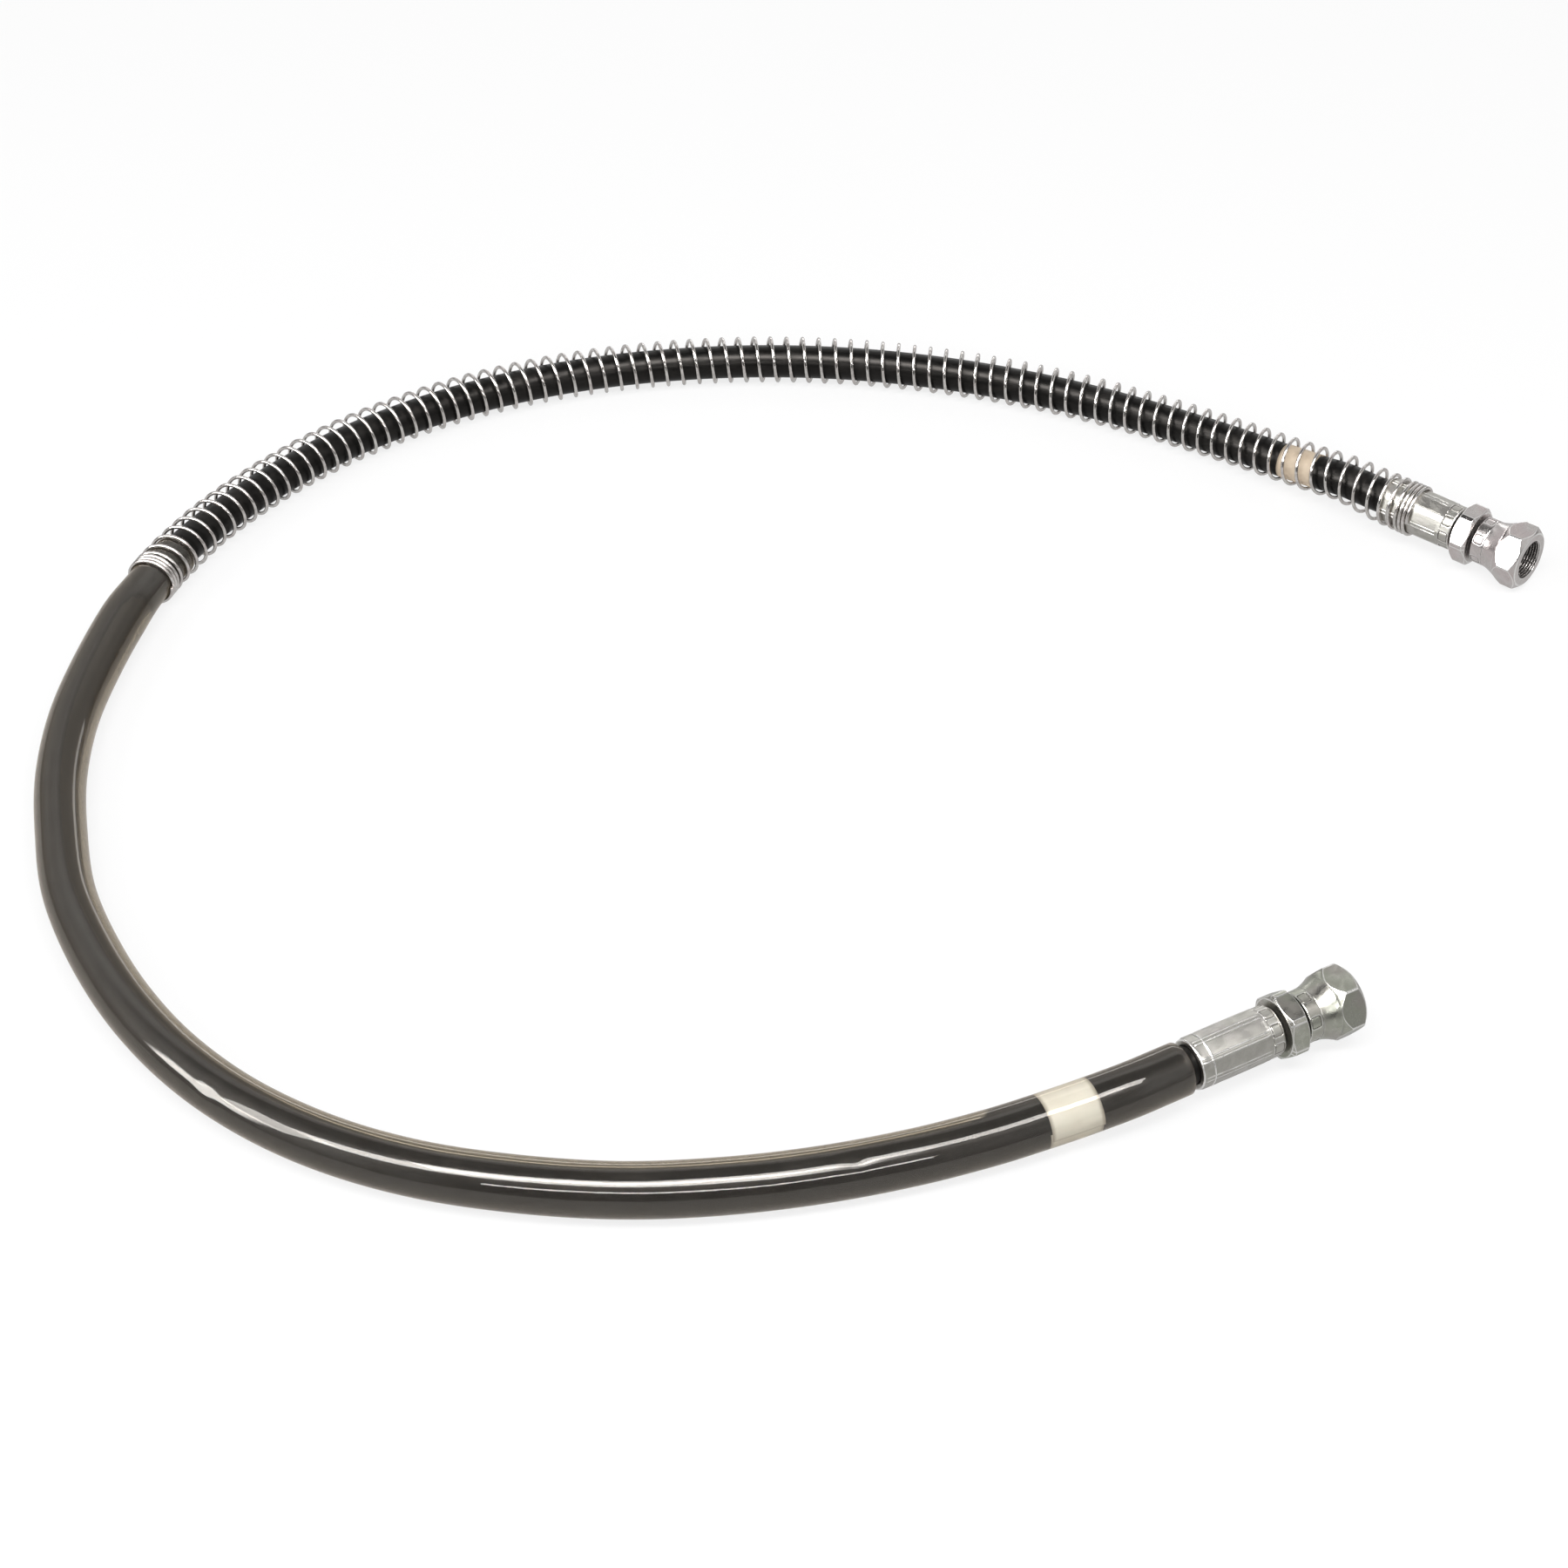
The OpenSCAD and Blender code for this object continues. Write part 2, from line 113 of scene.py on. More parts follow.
class Value:
    """A number that a node gives, with Python's operators for its Math nodes."""

    __add__ = __radd__ = operator("ADD")
    __sub__ = operator("SUBTRACT")
    __rsub__ = operator("SUBTRACT", swapped=True)
    __mul__ = __rmul__ = operator("MULTIPLY")
    __truediv__ = operator("DIVIDE")

    def __init__(self, tree: Tree, socket: Socket) -> None:
        """Keeps the socket and the tree that new Math nodes go into."""
        self.tree = tree
        self.socket = socket

    def __neg__(self) -> Value:
        """The number with its sign turned."""
        return self * -1.0

    def clamped(self) -> Value:
        """The number held between 0 and 1."""
        return self.tree.math("MAXIMUM", self.tree.math("MINIMUM", self, 1.0), 0.0)


class Tree:
    """A node tree under construction, of a material, the world or Geometry Nodes."""

    def __init__(self, tree: bpy.types.NodeTree) -> None:
        """Takes the tree and empties it."""
        self.tree = tree
        self.tree.nodes.clear()

    def node(
        self, kind: str, inputs: Mapping[Any, Term] | None = None, **settings: Any
    ) -> bpy.types.Node:
        """Adds one node.

        Args:
            kind: The node's type.
            inputs: Values or links of its sockets, by name or number.
            settings: Properties that are set first; stops fills a colour ramp.

        Returns:
            The new node.
        """
        made = self.tree.nodes.new(kind)
        for name, value in settings.items():
            if name == "stops":
                self.fill(made.color_ramp.elements, value)
            else:
                setattr(made, name, value)
        for key, value in (inputs or {}).items():
            source = value.socket if isinstance(value, Value) else value
            if isinstance(source, Socket):
                self.tree.links.new(source, made.inputs[key])
            else:
                made.inputs[key].default_value = source
        return made

    @staticmethod
    def fill(elements: bpy.types.ColorRampElements, stops: Stops) -> None:
        """Fills a colour ramp with grey stops.

        Args:
            elements: The ramp's elements.
            stops: Place and level of each stop, in order.
        """
        while len(elements) < len(stops):
            elements.new(1.0)
        for element, (place, level) in zip(elements, stops):
            element.position = place
            element.color = (level, level, level, 1.0)

    def math(self, operation: str, *terms: Term) -> Value:
        """Adds one Math node and returns its result."""
        made = self.node("ShaderNodeMath", dict(enumerate(terms)), operation=operation)
        return Value(self, made.outputs[0])

    def vector_math(self, operation: str, first: Term, second: Term) -> Socket:
        """Adds one Vector Math node and returns its vector; SCALE takes a number second."""
        inputs = {0: first, "Scale" if operation == "SCALE" else 1: second}
        return self.node("ShaderNodeVectorMath", inputs, operation=operation).outputs["Vector"]

    def parts(self, vector: Socket) -> list[Value]:
        """The three numbers of a vector."""
        split = self.node("ShaderNodeSeparateXYZ", {0: vector})
        return [Value(self, part) for part in split.outputs]

    def ramp(self, value: Term, *stops: tuple[float, float]) -> Value:
        """A number mapped through straight lines between stops of place and level."""
        return Value(self, self.node("ShaderNodeValToRGB", {0: value}, stops=stops).outputs[0])

    def rays(self, *kinds: str) -> list[Value]:
        """For each kind of ray, 1 where such a ray looks and 0 elsewhere."""
        outputs = self.node("ShaderNodeLightPath").outputs
        return [Value(self, outputs[f"Is {kind} Ray"]) for kind in kinds]


class Surface(Tree):
    """The node tree of one material, with what a finish needs most."""

    def __init__(self, name: str) -> None:
        """Makes an empty material of that name.

        Args:
            name: The material's name.
        """
        self.material = bpy.data.materials.new(name)
        self.material.use_nodes = True
        super().__init__(self.material.node_tree)
        self.lay = self.node("ShaderNodeAttribute", attribute_name="lay").outputs["Vector"]
        # 1 on rubbed edges with a painted highlight, -1 where shade is painted
        worn_and_painted_light = self.node("ShaderNodeAttribute", attribute_name="wear").outputs["Fac"]
        self.wear = Value(self, worn_and_painted_light)

    def noise(
        self,
        size: float,
        detail: float = 3.0,
        stretch: Colour = (1.0, 1.0, 1.0),
        at: Socket | None = None,
        distortion: float = 0.0,
    ) -> Value:
        """Noise of a given grain.

        Args:
            size: Width of its largest features.
            detail: Octaves of finer grain.
            stretch: How many times longer the features are along the piece and across it.
            at: Place that the noise is read at; the lay where it is left out.
            distortion: How much the noise curls.

        Returns:
            A number about 0.5, mostly between 0.3 and 0.7.
        """
        place = self.vector_math("MULTIPLY", at or self.lay, tuple(1.0 / s for s in stretch))
        inputs = {"Vector": place, "Scale": 1.0 / (size * MM), "Detail": detail, "Distortion": distortion}
        return Value(self, self.node("ShaderNodeTexNoise", inputs).outputs[0])

    def patches(self, low: float, high: float, *grain: Any, **more: Any) -> Value:
        """Noise of a given grain, spread so that it is 0 below low and 1 above high."""
        return self.ramp(self.noise(*grain, **more), (low, 0.0), (high, 1.0))

    def blend(self, factor: Term, *colours: Term) -> Socket:
        """Mixes two colours.

        Args:
            factor: Share of the second one.
            colours: The two, each a socket or three numbers.

        Returns:
            The mixed colour.
        """
        inputs = {0: factor}
        for key, colour in zip((6, 7), colours):
            inputs[key] = (*colour, 1.0) if isinstance(colour, tuple) else colour
        return self.node("ShaderNodeMix", inputs, data_type="RGBA").outputs[2]

    def bump(self, height: Value, depth: float, over: Socket | None = None) -> Socket:
        """Raises the surface in the shading.

        Args:
            height: Where it rises, from 0 to 1.
            depth: How far it rises at 1.
            over: Normal that the bumps lie on; the mesh's own where it is left out.

        Returns:
            The bumpy surface's normal.
        """
        inputs = {"Height": height, "Distance": depth * MM}
        if over is not None:
            inputs["Normal"] = over
        return self.node("ShaderNodeBump", inputs).outputs[0]

    def done(self, **inputs: Term) -> bpy.types.Material:
        """Ends the tree in one Principled shader.

        Args:
            inputs: Its sockets' values or links, with _ for a space in each name.

        Returns:
            The finished material.
        """
        named = {key.replace("_", " "): value for key, value in inputs.items()}
        return self.shaded(self.node("ShaderNodeBsdfPrincipled", named))

    def shaded(self, shader: bpy.types.Node) -> bpy.types.Material:
        """Ends the tree in a shader and returns the finished material."""
        self.node("ShaderNodeOutputMaterial", {"Surface": shader.outputs[0]})
        return self.material


# ---------------------------------------------------------------------------- finishes


class Grain(Enum):
    """Which way a metal's tool marks run, as noise stretched along the piece and across it."""

    TURNED = (0.02, 6.0, 6.0)
    PRESSED = (3.0, 1.0, 1.0)
    DRAWN = (60.0, 1.0, 1.0)


@dataclass(frozen=True)
class MetalFinish:
    """Plated or bare steel: mottled, faintly tinted, brighter on rubbed edges with a painted highlight,
    darker in corners with painted shade.
    """

    name: str
    body: Colour
    dull: Colour
    # rubbed edges, partly a painted highlight; painted shade in corners and recesses, with some grime
    rubbed_and_painted_highlight: Colour
    grime_and_painted_shade: Colour
    tints: tuple[Colour, Colour]
    roughness: float
    grain: Grain
    grain_size: float = 0.5
    grain_depth: float = 0.01
    mottle_size: float = 5.0
    mottling: float = 1.0
    dent_depth: float = 0.05
    tint_share: float = 0.42

    def build(self) -> bpy.types.Material:
        """Makes the material.

        Returns:
            The material.
        """
        s = Surface(self.name)
        patches = s.patches(0.38, 0.62, self.mottle_size, 6.0, distortion=0.6)
        specks = s.patches(0.54, 0.70, 0.7)
        grain = s.noise(self.grain_size, 2.0, self.grain.value)
        hue = s.patches(0.40, 0.60, 14.0, 1.0)
        # rubbed edges and ridges with a painted highlight; painted shade in corners, grooves, recesses and
        # thread roots, with some grime, also rougher and less metallic there
        edges = (s.wear.clamped() * (0.55 + 0.9 * s.noise(1.6))).clamped()
        corners = ((-s.wear).clamped() * (0.5 + s.noise(1.1))).clamped()
        colour = s.blend(patches * self.mottling, self.body, self.dull)
        colour = s.blend(self.tint_share, colour, s.blend(hue, *self.tints))
        colour = s.blend(specks * 0.5 * self.mottling, colour, self.dull)
        colour = s.blend(edges, colour, self.rubbed_and_painted_highlight)
        colour = s.blend(corners, colour, self.grime_and_painted_shade)
        rough = self.roughness + 0.16 * self.mottling * (patches - 0.5)
        rough = rough + 0.10 * (grain - 0.5) - 0.08 * edges + 0.3 * corners
        return s.done(
            Base_Color=colour,
            Metallic=1.0 - 0.45 * corners,
            Roughness=rough.clamped(),
            Normal=s.bump(grain, self.grain_depth, over=s.bump(s.noise(2.2), self.dent_depth)),
        )


@dataclass(frozen=True)
class RubberFinish:
    """Black rubber with the faint weave of the cloth that it was cured in."""

    name: str
    body: Colour
    dusty: Colour
    roughness: float
    gloss: float = 0.22
    weave_depth: float = 0.012
    pit_depth: float = 0.04
    reflected: Colour = (1.0, 0.93, 0.87)

    def build(self) -> bpy.types.Material:
        """Makes the material.

        Returns:
            The material.
        """
        s = Surface(self.name)
        dust = s.patches(0.48, 0.72, 6.0, 5.0, (2.0, 1.0, 1.0))
        fine = s.noise(0.45, 2.0)
        weave = s.noise(0.7, 1.0, (0.35, 2.5, 2.5))
        rough = self.roughness + 0.18 * (dust - 0.4) + 0.12 * (fine - 0.5)
        return s.done(
            Base_Color=s.blend((dust * 0.5 + fine * 0.15).clamped(), self.body, self.dusty),
            Roughness=rough.clamped(),
            Specular_IOR_Level=self.gloss,
            Specular_Tint=(*self.reflected, 1.0),
            Normal=s.bump(weave, self.weave_depth, over=s.bump(s.noise(1.5, 4.0), self.pit_depth)),
        )


@dataclass(frozen=True)
class BraidFinish:
    """Steel wires laid both ways round the hose."""

    name: str = "braided_wire"
    strand: Colour = (0.62, 0.58, 0.50)
    gap: Colour = (0.05, 0.045, 0.04)
    strand_width: float = 1.1
    strands_round: float = 12.0
    depth: float = 0.3

    def build(self) -> bpy.types.Material:
        """Makes the material.

        Returns:
            The material.
        """
        s = Surface(self.name)
        along, side, up = s.parts(s.lay)
        angle = s.math("ARCTAN2", side, up)
        lanes = along / (self.strand_width * MM)
        strands = [s.math("SINE", angle * self.strands_round + sign * lanes) for sign in (1.0, -1.0)]
        height = s.math("MAXIMUM", *strands) * 0.5 + 0.5
        cover = s.ramp(height, (0.30, 0.0), (0.75, 1.0))
        return s.done(
            Base_Color=s.blend(cover, self.gap, self.strand),
            Metallic=cover,
            Roughness=0.55 - 0.2 * cover,
            Normal=s.bump(height, self.depth),
        )


@dataclass(frozen=True)
class VinylFinish:
    """Clear smoky vinyl, slightly hazy, with soft waves from its extrusion."""

    name: str = "smoky_vinyl"
    clear: Colour = (0.93, 0.89, 0.83)
    hazy: Colour = (0.72, 0.65, 0.57)
    # painted shade: the dark brown of the wall where it stands off the hose
    painted_standoff_shade: Colour = (0.18, 0.15, 0.105)
    deep: Colour = (0.62, 0.51, 0.38)
    reflected: Colour = (1.0, 0.96, 0.91)
    reflectance: float = 1.0
    transmission: float = 0.985
    bloom: Colour = (0.66, 0.52, 0.36)
    bloom_weight: float = 0.35
    bloom_spread: float = 0.45
    ior: float = 1.55
    wave_depth: float = 0.16

    def build(self) -> bpy.types.Material:
        """Makes the material; below 0, the attribute marks where it stands off the hose, and there the wall
        is darkened as painted shade.

        Returns:
            The material.
        """
        s = Surface(self.name)
        haze = s.patches(0.42, 0.72, 7.0, 6.0, (2.5, 1.0, 1.0))
        scuffs = s.patches(0.56, 0.80, 1.2, 5.0, (4.0, 1.0, 1.0))
        waves = s.noise(16.0, 2.0, (5.0, 1.0, 1.0))
        wall = s.blend((haze * 0.6 + scuffs * 0.3).clamped(), self.clear, self.hazy)
        # the wall is looked through at a slant near its edges, where more of its brown shows
        slant = s.node("ShaderNodeLayerWeight", {"Blend": 0.5}).outputs["Facing"]
        wall = s.blend(s.ramp(slant, (0.25, 0.0), (0.85, 1.0)), wall, self.deep)
        return s.done(
            # painted shade where the sleeve stands off the hose
            Base_Color=s.blend((-s.wear).clamped(), wall, self.painted_standoff_shade),
            Roughness=(0.02 + 0.03 * haze + 0.06 * scuffs).clamped(),
            Specular_IOR_Level=self.reflectance,
            Sheen_Weight=self.bloom_weight,
            Sheen_Roughness=self.bloom_spread,
            Sheen_Tint=(*self.bloom, 1.0),
            IOR=self.ior,
            Transmission_Weight=self.transmission,
            Specular_Tint=(*self.reflected, 1.0),
            Normal=s.bump(waves, self.wave_depth),
        )


@dataclass(frozen=True)
class LabelFinish:
    """Cream label film, faintly fibrous and handled, with nothing printed on it."""

    name: str
    cream: Colour
    stained: Colour
    # darker colour at the film's edges, lap and underside: grime and painted shade
    edge: Colour = (0.26, 0.21, 0.15)
    fibre_depth: float = 0.01
    crease_depth: float = 0.08

    def build(self) -> bpy.types.Material:
        """Makes the material.

        Returns:
            The material.
        """
        s = Surface(self.name)
        stains = s.patches(0.50, 0.78, 5.0, 5.0)
        fibres = s.noise(0.5, 3.0, (1.0, 5.0, 5.0))
        creases = s.noise(4.0, 2.0, (6.0, 1.0, 1.0))
        colour = s.blend((stains * 0.45 + fibres * 0.18).clamped(), self.cream, self.stained)
        return s.done(
            # darker at the film's edges, lap and underside: grime and painted shade
            Base_Color=s.blend((-s.wear).clamped() * 0.7, colour, self.edge),
            Roughness=(0.42 + 0.2 * fibres).clamped(),
            Normal=s.bump(fibres, self.fibre_depth, over=s.bump(creases, self.crease_depth)),
        )


@dataclass(frozen=True)
class SealFinish:
    """Black nitrile of the O-rings, with a trace of grease."""

    name: str = "seal_nitrile"
    body: Colour = (0.012, 0.012, 0.013)
    greasy: Colour = (0.03, 0.028, 0.024)

    def build(self) -> bpy.types.Material:
        """Makes the material; the rings are solids without a lay.

        Returns:
            The material.
        """
        s = Surface(self.name)
        place = s.node("ShaderNodeTexCoord").outputs["Object"]
        grease = s.patches(0.45, 0.65, 1.5, 3.0, at=place)
        return s.done(
            Base_Color=s.blend(grease, self.body, self.greasy),
            Roughness=0.42 - 0.2 * grease,
            Normal=s.bump(grease, 0.02),
        )


class Finishes:
    """Every material of the assembly, made once."""

    def __init__(self) -> None:
        """Builds the materials."""
        self.cover = RubberFinish("hose_rubber", (0.003, 0.003, 0.003), (0.014, 0.013, 0.012), 0.38).build()
        self.tube = RubberFinish("tube_rubber", (0.025, 0.022, 0.018), (0.05, 0.046, 0.04), 0.62).build()
        self.braid = BraidFinish().build()
        self.vinyl = VinylFinish().build()
        self.aged_label = LabelFinish("label_film_aged", (0.57, 0.47, 0.355), (0.38, 0.29, 0.21)).build()
        self.clean_label = LabelFinish("label_film_clean", (0.80, 0.79, 0.71), (0.73, 0.70, 0.62)).build()
        self.seal = SealFinish().build()
        self.spring = MetalFinish(
            "drawn_wire",
            body=(0.78, 0.755, 0.73),
            dull=(0.50, 0.47, 0.45),
            rubbed_and_painted_highlight=(0.88, 0.87, 0.86),
            grime_and_painted_shade=(0.10, 0.08, 0.07),
            tints=((0.75, 0.69, 0.67), (0.77, 0.76, 0.73)),
            roughness=0.17,
            grain=Grain.DRAWN,
            mottle_size=3.0,
        ).build()
        self.ferrule = MetalFinish(
            "pressed_zinc",
            body=(0.57, 0.555, 0.52),
            dull=(0.33, 0.32, 0.29),
            # rubbed ridges with a painted highlight, painted shade beside them and in recesses
            rubbed_and_painted_highlight=(0.92, 0.91, 0.89),
            grime_and_painted_shade=(0.09, 0.08, 0.07),
            tints=((0.50, 0.47, 0.45), (0.50, 0.49, 0.44)),
            roughness=0.36,
            grain=Grain.PRESSED,
            grain_size=0.9,
            grain_depth=0.03,
            mottling=0.55,
            dent_depth=0.03,
        ).build()
        # one zinc in two copies: the guard end's painted lighter and pinker, the sleeve end's darker and
        # greener, for the light and reflections each end catches, over a faint passivation tint
        self.guard_end_zinc_painted_lighter = self.zinc(
            "zinc_guard_end_painted_lighter",
            body=(0.66, 0.62, 0.61),
            dull=(0.50, 0.465, 0.445),
            tints=((0.71, 0.61, 0.605), (0.69, 0.665, 0.645)),
            roughness=0.22,
            dent_depth=0.008,
        )
        self.sleeve_end_zinc_painted_darker = self.zinc(
            "zinc_sleeve_end_painted_darker",
            body=(0.48, 0.47, 0.43),
            dull=(0.27, 0.26, 0.225),
            tints=((0.45, 0.48, 0.39), (0.50, 0.47, 0.435)),
            roughness=0.30,
            dent_depth=0.018,
        )

    @staticmethod
    def zinc(name: str, **own: Any) -> bpy.types.Material:
        """Bright zinc plate with a faint passivation tint."""
        # colours of rubbed edges, with a painted highlight, and of corners, with painted shade and some
        # grime
        rubbed_and_painted_highlight, grime_and_painted_shade = (0.93, 0.92, 0.90), (0.035, 0.030, 0.026)
        own |= {"rubbed_and_painted_highlight": rubbed_and_painted_highlight, "grime_and_painted_shade": grime_and_painted_shade, "grain": Grain.TURNED, "mottling": 0.6}
        return MetalFinish(name, **own).build()


# ---------------------------------------------------------------------------- shapes


def smooth_step(value: float, low: float, high: float) -> float:
    """Rises from 0 at low to 1 at high, level at both."""
    share = min(max((value - low) / (high - low), 0.0), 1.0)
    return share * share * (3.0 - 2.0 * share)


def wandering(*place: float) -> float:
    """Smooth noise at a place, between -1 and 1."""
    return noise.noise(Vector(place))


def added(name: str, data: bpy.types.ID) -> bpy.types.Object:
    """Makes an object and links it to the scene.

    Args:
        name: The object's name.
        data: Its mesh, lamp or camera.

    Returns:
        The object.
    """
    made = bpy.data.objects.new(name, data)
    bpy.context.scene.collection.objects.link(made)
    return made


def mark(mesh: bpy.types.Mesh, **attributes: np.ndarray) -> None:
    """Stores attributes on a mesh's points.

    Args:
        mesh: The mesh.
        attributes: One number or vector a point, by the attribute's name.
    """
    for name, values in attributes.items():
        vectors = values.size > len(mesh.vertices)
        kind, key = ("FLOAT_VECTOR", "vector") if vectors else ("FLOAT", "value")
        mesh.attributes.new(name, kind, "POINT").data.foreach_set(key, values.reshape(-1))


def seated(piece: bpy.types.Object, node: str, slot: str, body: str = "root") -> bpy.types.Object:
    """Gives a finished piece its place in the model.

    Args:
        piece: The piece.
        node: The node that it stands for.
        slot: What its finish would be called; not used.
        body: The body that it rides.

    Returns:
        The piece.
    """
    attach(piece, body)
    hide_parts(node)
    log.info("%s: %d faces", piece.name, len(piece.data.polygons))
    return piece


def softened(corners: Loop, support: float = 0.25) -> Loop:
    """Rounds the corners of an outline, with a level strip beside each rounding.

    Args:
        corners: Station, radius and rounding of each corner; 0 keeps one plain point, and a
        negative number keeps one with that much painted shade.
        support: Width of the strip that keeps the flats' shading flat.

    Returns:
        The outline, with 1 on a rounding: rubbed wear and a painted highlight.
    """
    points: Loop = []
    for i, (x, r, rounding) in enumerate(corners):
        if rounding <= 0:
            points.append((x, r, float(rounding)))
            continue
        here = np.array((x, r))
        ways = [np.array(corners[k % len(corners)][:2]) - here for k in (i - 1, i + 1)]
        lengths = [float(np.linalg.norm(way)) for way in ways]
        strip = min(rounding + support, 0.45 * min(lengths))
        turn = strip * rounding / (rounding + support)
        before, after = (way / max(length, 1e-6) for way, length in zip(ways, lengths))
        for place, worn_and_painted_light in (
            (here + before * strip, 0.0),
            (here + before * turn, 0.6),
            (here + 0.25 * turn * (before + after), 1.0),
            (here + after * turn, 0.6),
            (here + after * strip, 0.0),
        ):
            points.append((float(place[0]), float(place[1]), worn_and_painted_light))
    return points


class Guide:
    """What a piece is drawn on: stations run along it, and angles start from straight down."""

    turn = 0.0

    def frames(self, stations: np.ndarray) -> tuple[np.ndarray, np.ndarray, np.ndarray]:
        """Position, side and up directions at each station."""
        raise NotImplementedError

    def place(self, stations: np.ndarray, radii: np.ndarray, angles: np.ndarray) -> np.ndarray:
        """Finds points on a piece.

        Args:
            stations: Their distances along the guide.
            radii: Their distances from it.
            angles: Their angles round it, in radians from straight down.

        Returns:
            The points, in an array of that shape.
        """
        position, side, up = self.frames(stations)
        around = (angles + self.turn)[..., None]
        return position + radii[..., None] * (np.sin(around) * side - np.cos(around) * up)


class Axis(Guide):
    """A straight axis that starts at a ferrule's mouth."""

    def __init__(self, start: np.ndarray, yaw: float, turn: float = 0.0) -> None:
        """Lays the axis.

        Args:
            start: Middle of the mouth.
            yaw: Its heading, in degrees from +X.
            turn: How far the piece on it is turned, in degrees.
        """
        self.start = start
        self.heading = np.array((math.cos(math.radians(yaw)), math.sin(math.radians(yaw)), 0.0))
        self.turn = math.radians(turn)

    def frames(self, stations: np.ndarray) -> tuple[np.ndarray, np.ndarray, np.ndarray]:
        """Position, side and up directions at each station."""
        return self.start + stations[..., None] * self.heading, np.cross(UP, self.heading), UP


class Centreline(Guide):
    """A smooth curve through a route's points, by distance from point to point."""

    def __init__(self, points: np.ndarray, headings: Mapping[int, np.ndarray]) -> None:
        """Lays the curve.

        Args:
            points: The route's points.
            headings: The curve's direction at some of them, by number.
        """
        self.points = points
        steps = np.linalg.norm(np.diff(points, axis=0), axis=1)
        self.stations = np.concatenate(([0.0], np.cumsum(steps)))
        low = np.maximum(np.arange(len(points)) - 1, 0)
        high = np.minimum(low + 2, len(points) - 1)
        high[0] = 1
        self.slopes = (points[high] - points[low]) / (self.stations[high] - self.stations[low])[:, None]
        for i, heading in headings.items():
            self.slopes[i] = heading

    def frames(self, stations: np.ndarray) -> tuple[np.ndarray, np.ndarray, np.ndarray]:
        """Position, side and up directions at each station.

        Args:
            stations: Distances along the route, of any shape.

        Returns:
            Three arrays of that shape, of vectors.
        """
        i = np.clip(np.searchsorted(self.stations, stations, side="right") - 1, 0, len(self.points) - 2)
        step = (self.stations[i + 1] - self.stations[i])[..., None]
        f = (stations - self.stations[i])[..., None] / step
        p, q, m, n = self.points[i], self.points[i + 1], self.slopes[i], self.slopes[i + 1]
        position = (
            (2 * f**3 - 3 * f**2 + 1) * p
            + (f**3 - 2 * f**2 + f) * step * m
            + (3 * f**2 - 2 * f**3) * q
            + (f**3 - f**2) * step * n
        )
        ahead = ((6 * f**2 - 6 * f) * (p - q)) / step + (3 * f**2 - 4 * f + 1) * m + (3 * f**2 - 2 * f) * n
        ahead /= np.linalg.norm(ahead, axis=-1, keepdims=True)
        side = np.cross(UP, ahead)
        side /= np.linalg.norm(side, axis=-1, keepdims=True)
        return position, side, np.cross(ahead, side)

    def length(self) -> float:
        """Length of the curve."""
        position, _, _ = self.frames(np.linspace(0.0, self.stations[-1], 4000))
        return float(np.linalg.norm(np.diff(position, axis=0), axis=1).sum())


def closed_faces(points: np.ndarray, ends: bool) -> list[list[int]]:
    """Outward faces of a closed solid from a grid of points.

    Args:
        points: Rows of closed loops, rows x points x 3.
        ends: Whether the rows end in two caps; otherwise the last row joins the first.

    Returns:
        The numbers of each face's points.
    """
    index = np.arange(points[..., 0].size).reshape(points.shape[:2])
    ahead, beside = np.roll(index, -1, axis=0), np.roll(index, -1, axis=1)
    faces = np.stack((index, ahead, np.roll(ahead, -1, axis=1), beside), axis=-1)
    faces = (faces[:-1] if ends else faces).reshape(-1, 4)
    caps = [index[0], index[-1][::-1]] if ends else []
    a, b, c, d = (points.reshape(-1, 3)[faces[:, k]] for k in range(4))
    if np.sum(a * (np.cross(b, c) + np.cross(c, d))) < 0:
        faces = faces[:, ::-1]
        caps = [cap[::-1] for cap in caps]
    return faces.tolist() + [cap.tolist() for cap in caps]


def skin(
    name: str,
    on: Guide,
    angles: Sequence[float],
    outline: Callable[[float], Loop],
    finish: bpy.types.Material,
    ends: bool = False,
) -> bpy.types.Object:
    """Makes a solid whose closed outline is given at each angle round its axis.

    Args:
        name: The piece's name.
        on: The axis or the curve that it lies on.
        angles: Angles in degrees, from straight down.
        outline: Gives the outline at one angle.
        finish: Its material.
        ends: Whether the piece stops at the first and last angle.

    Returns:
        The piece, linked to the scene.
    """
    table = np.array([outline(angle) for angle in angles])
    # the third number: rubbed wear with a painted highlight, and painted shade below 0
    stations, radii, wear = table[..., 0], table[..., 1], table[..., 2]
    around = np.radians(np.asarray(angles))[:, None] * np.ones_like(stations)
    points = on.place(stations, radii, around) * MM
    mesh = bpy.data.meshes.new(name)
    mesh.from_pydata(points.reshape(-1, 3).tolist(), [], closed_faces(points, ends))
    mesh.shade_smooth()
    lay = np.stack((stations, radii * np.sin(around), -radii * np.cos(around)), axis=-1)
    mark(mesh, lay=lay * MM, wear=wear)
    mesh.materials.append(finish)
    return added(name, mesh)


# ---------------------------------------------------------------------------- the route


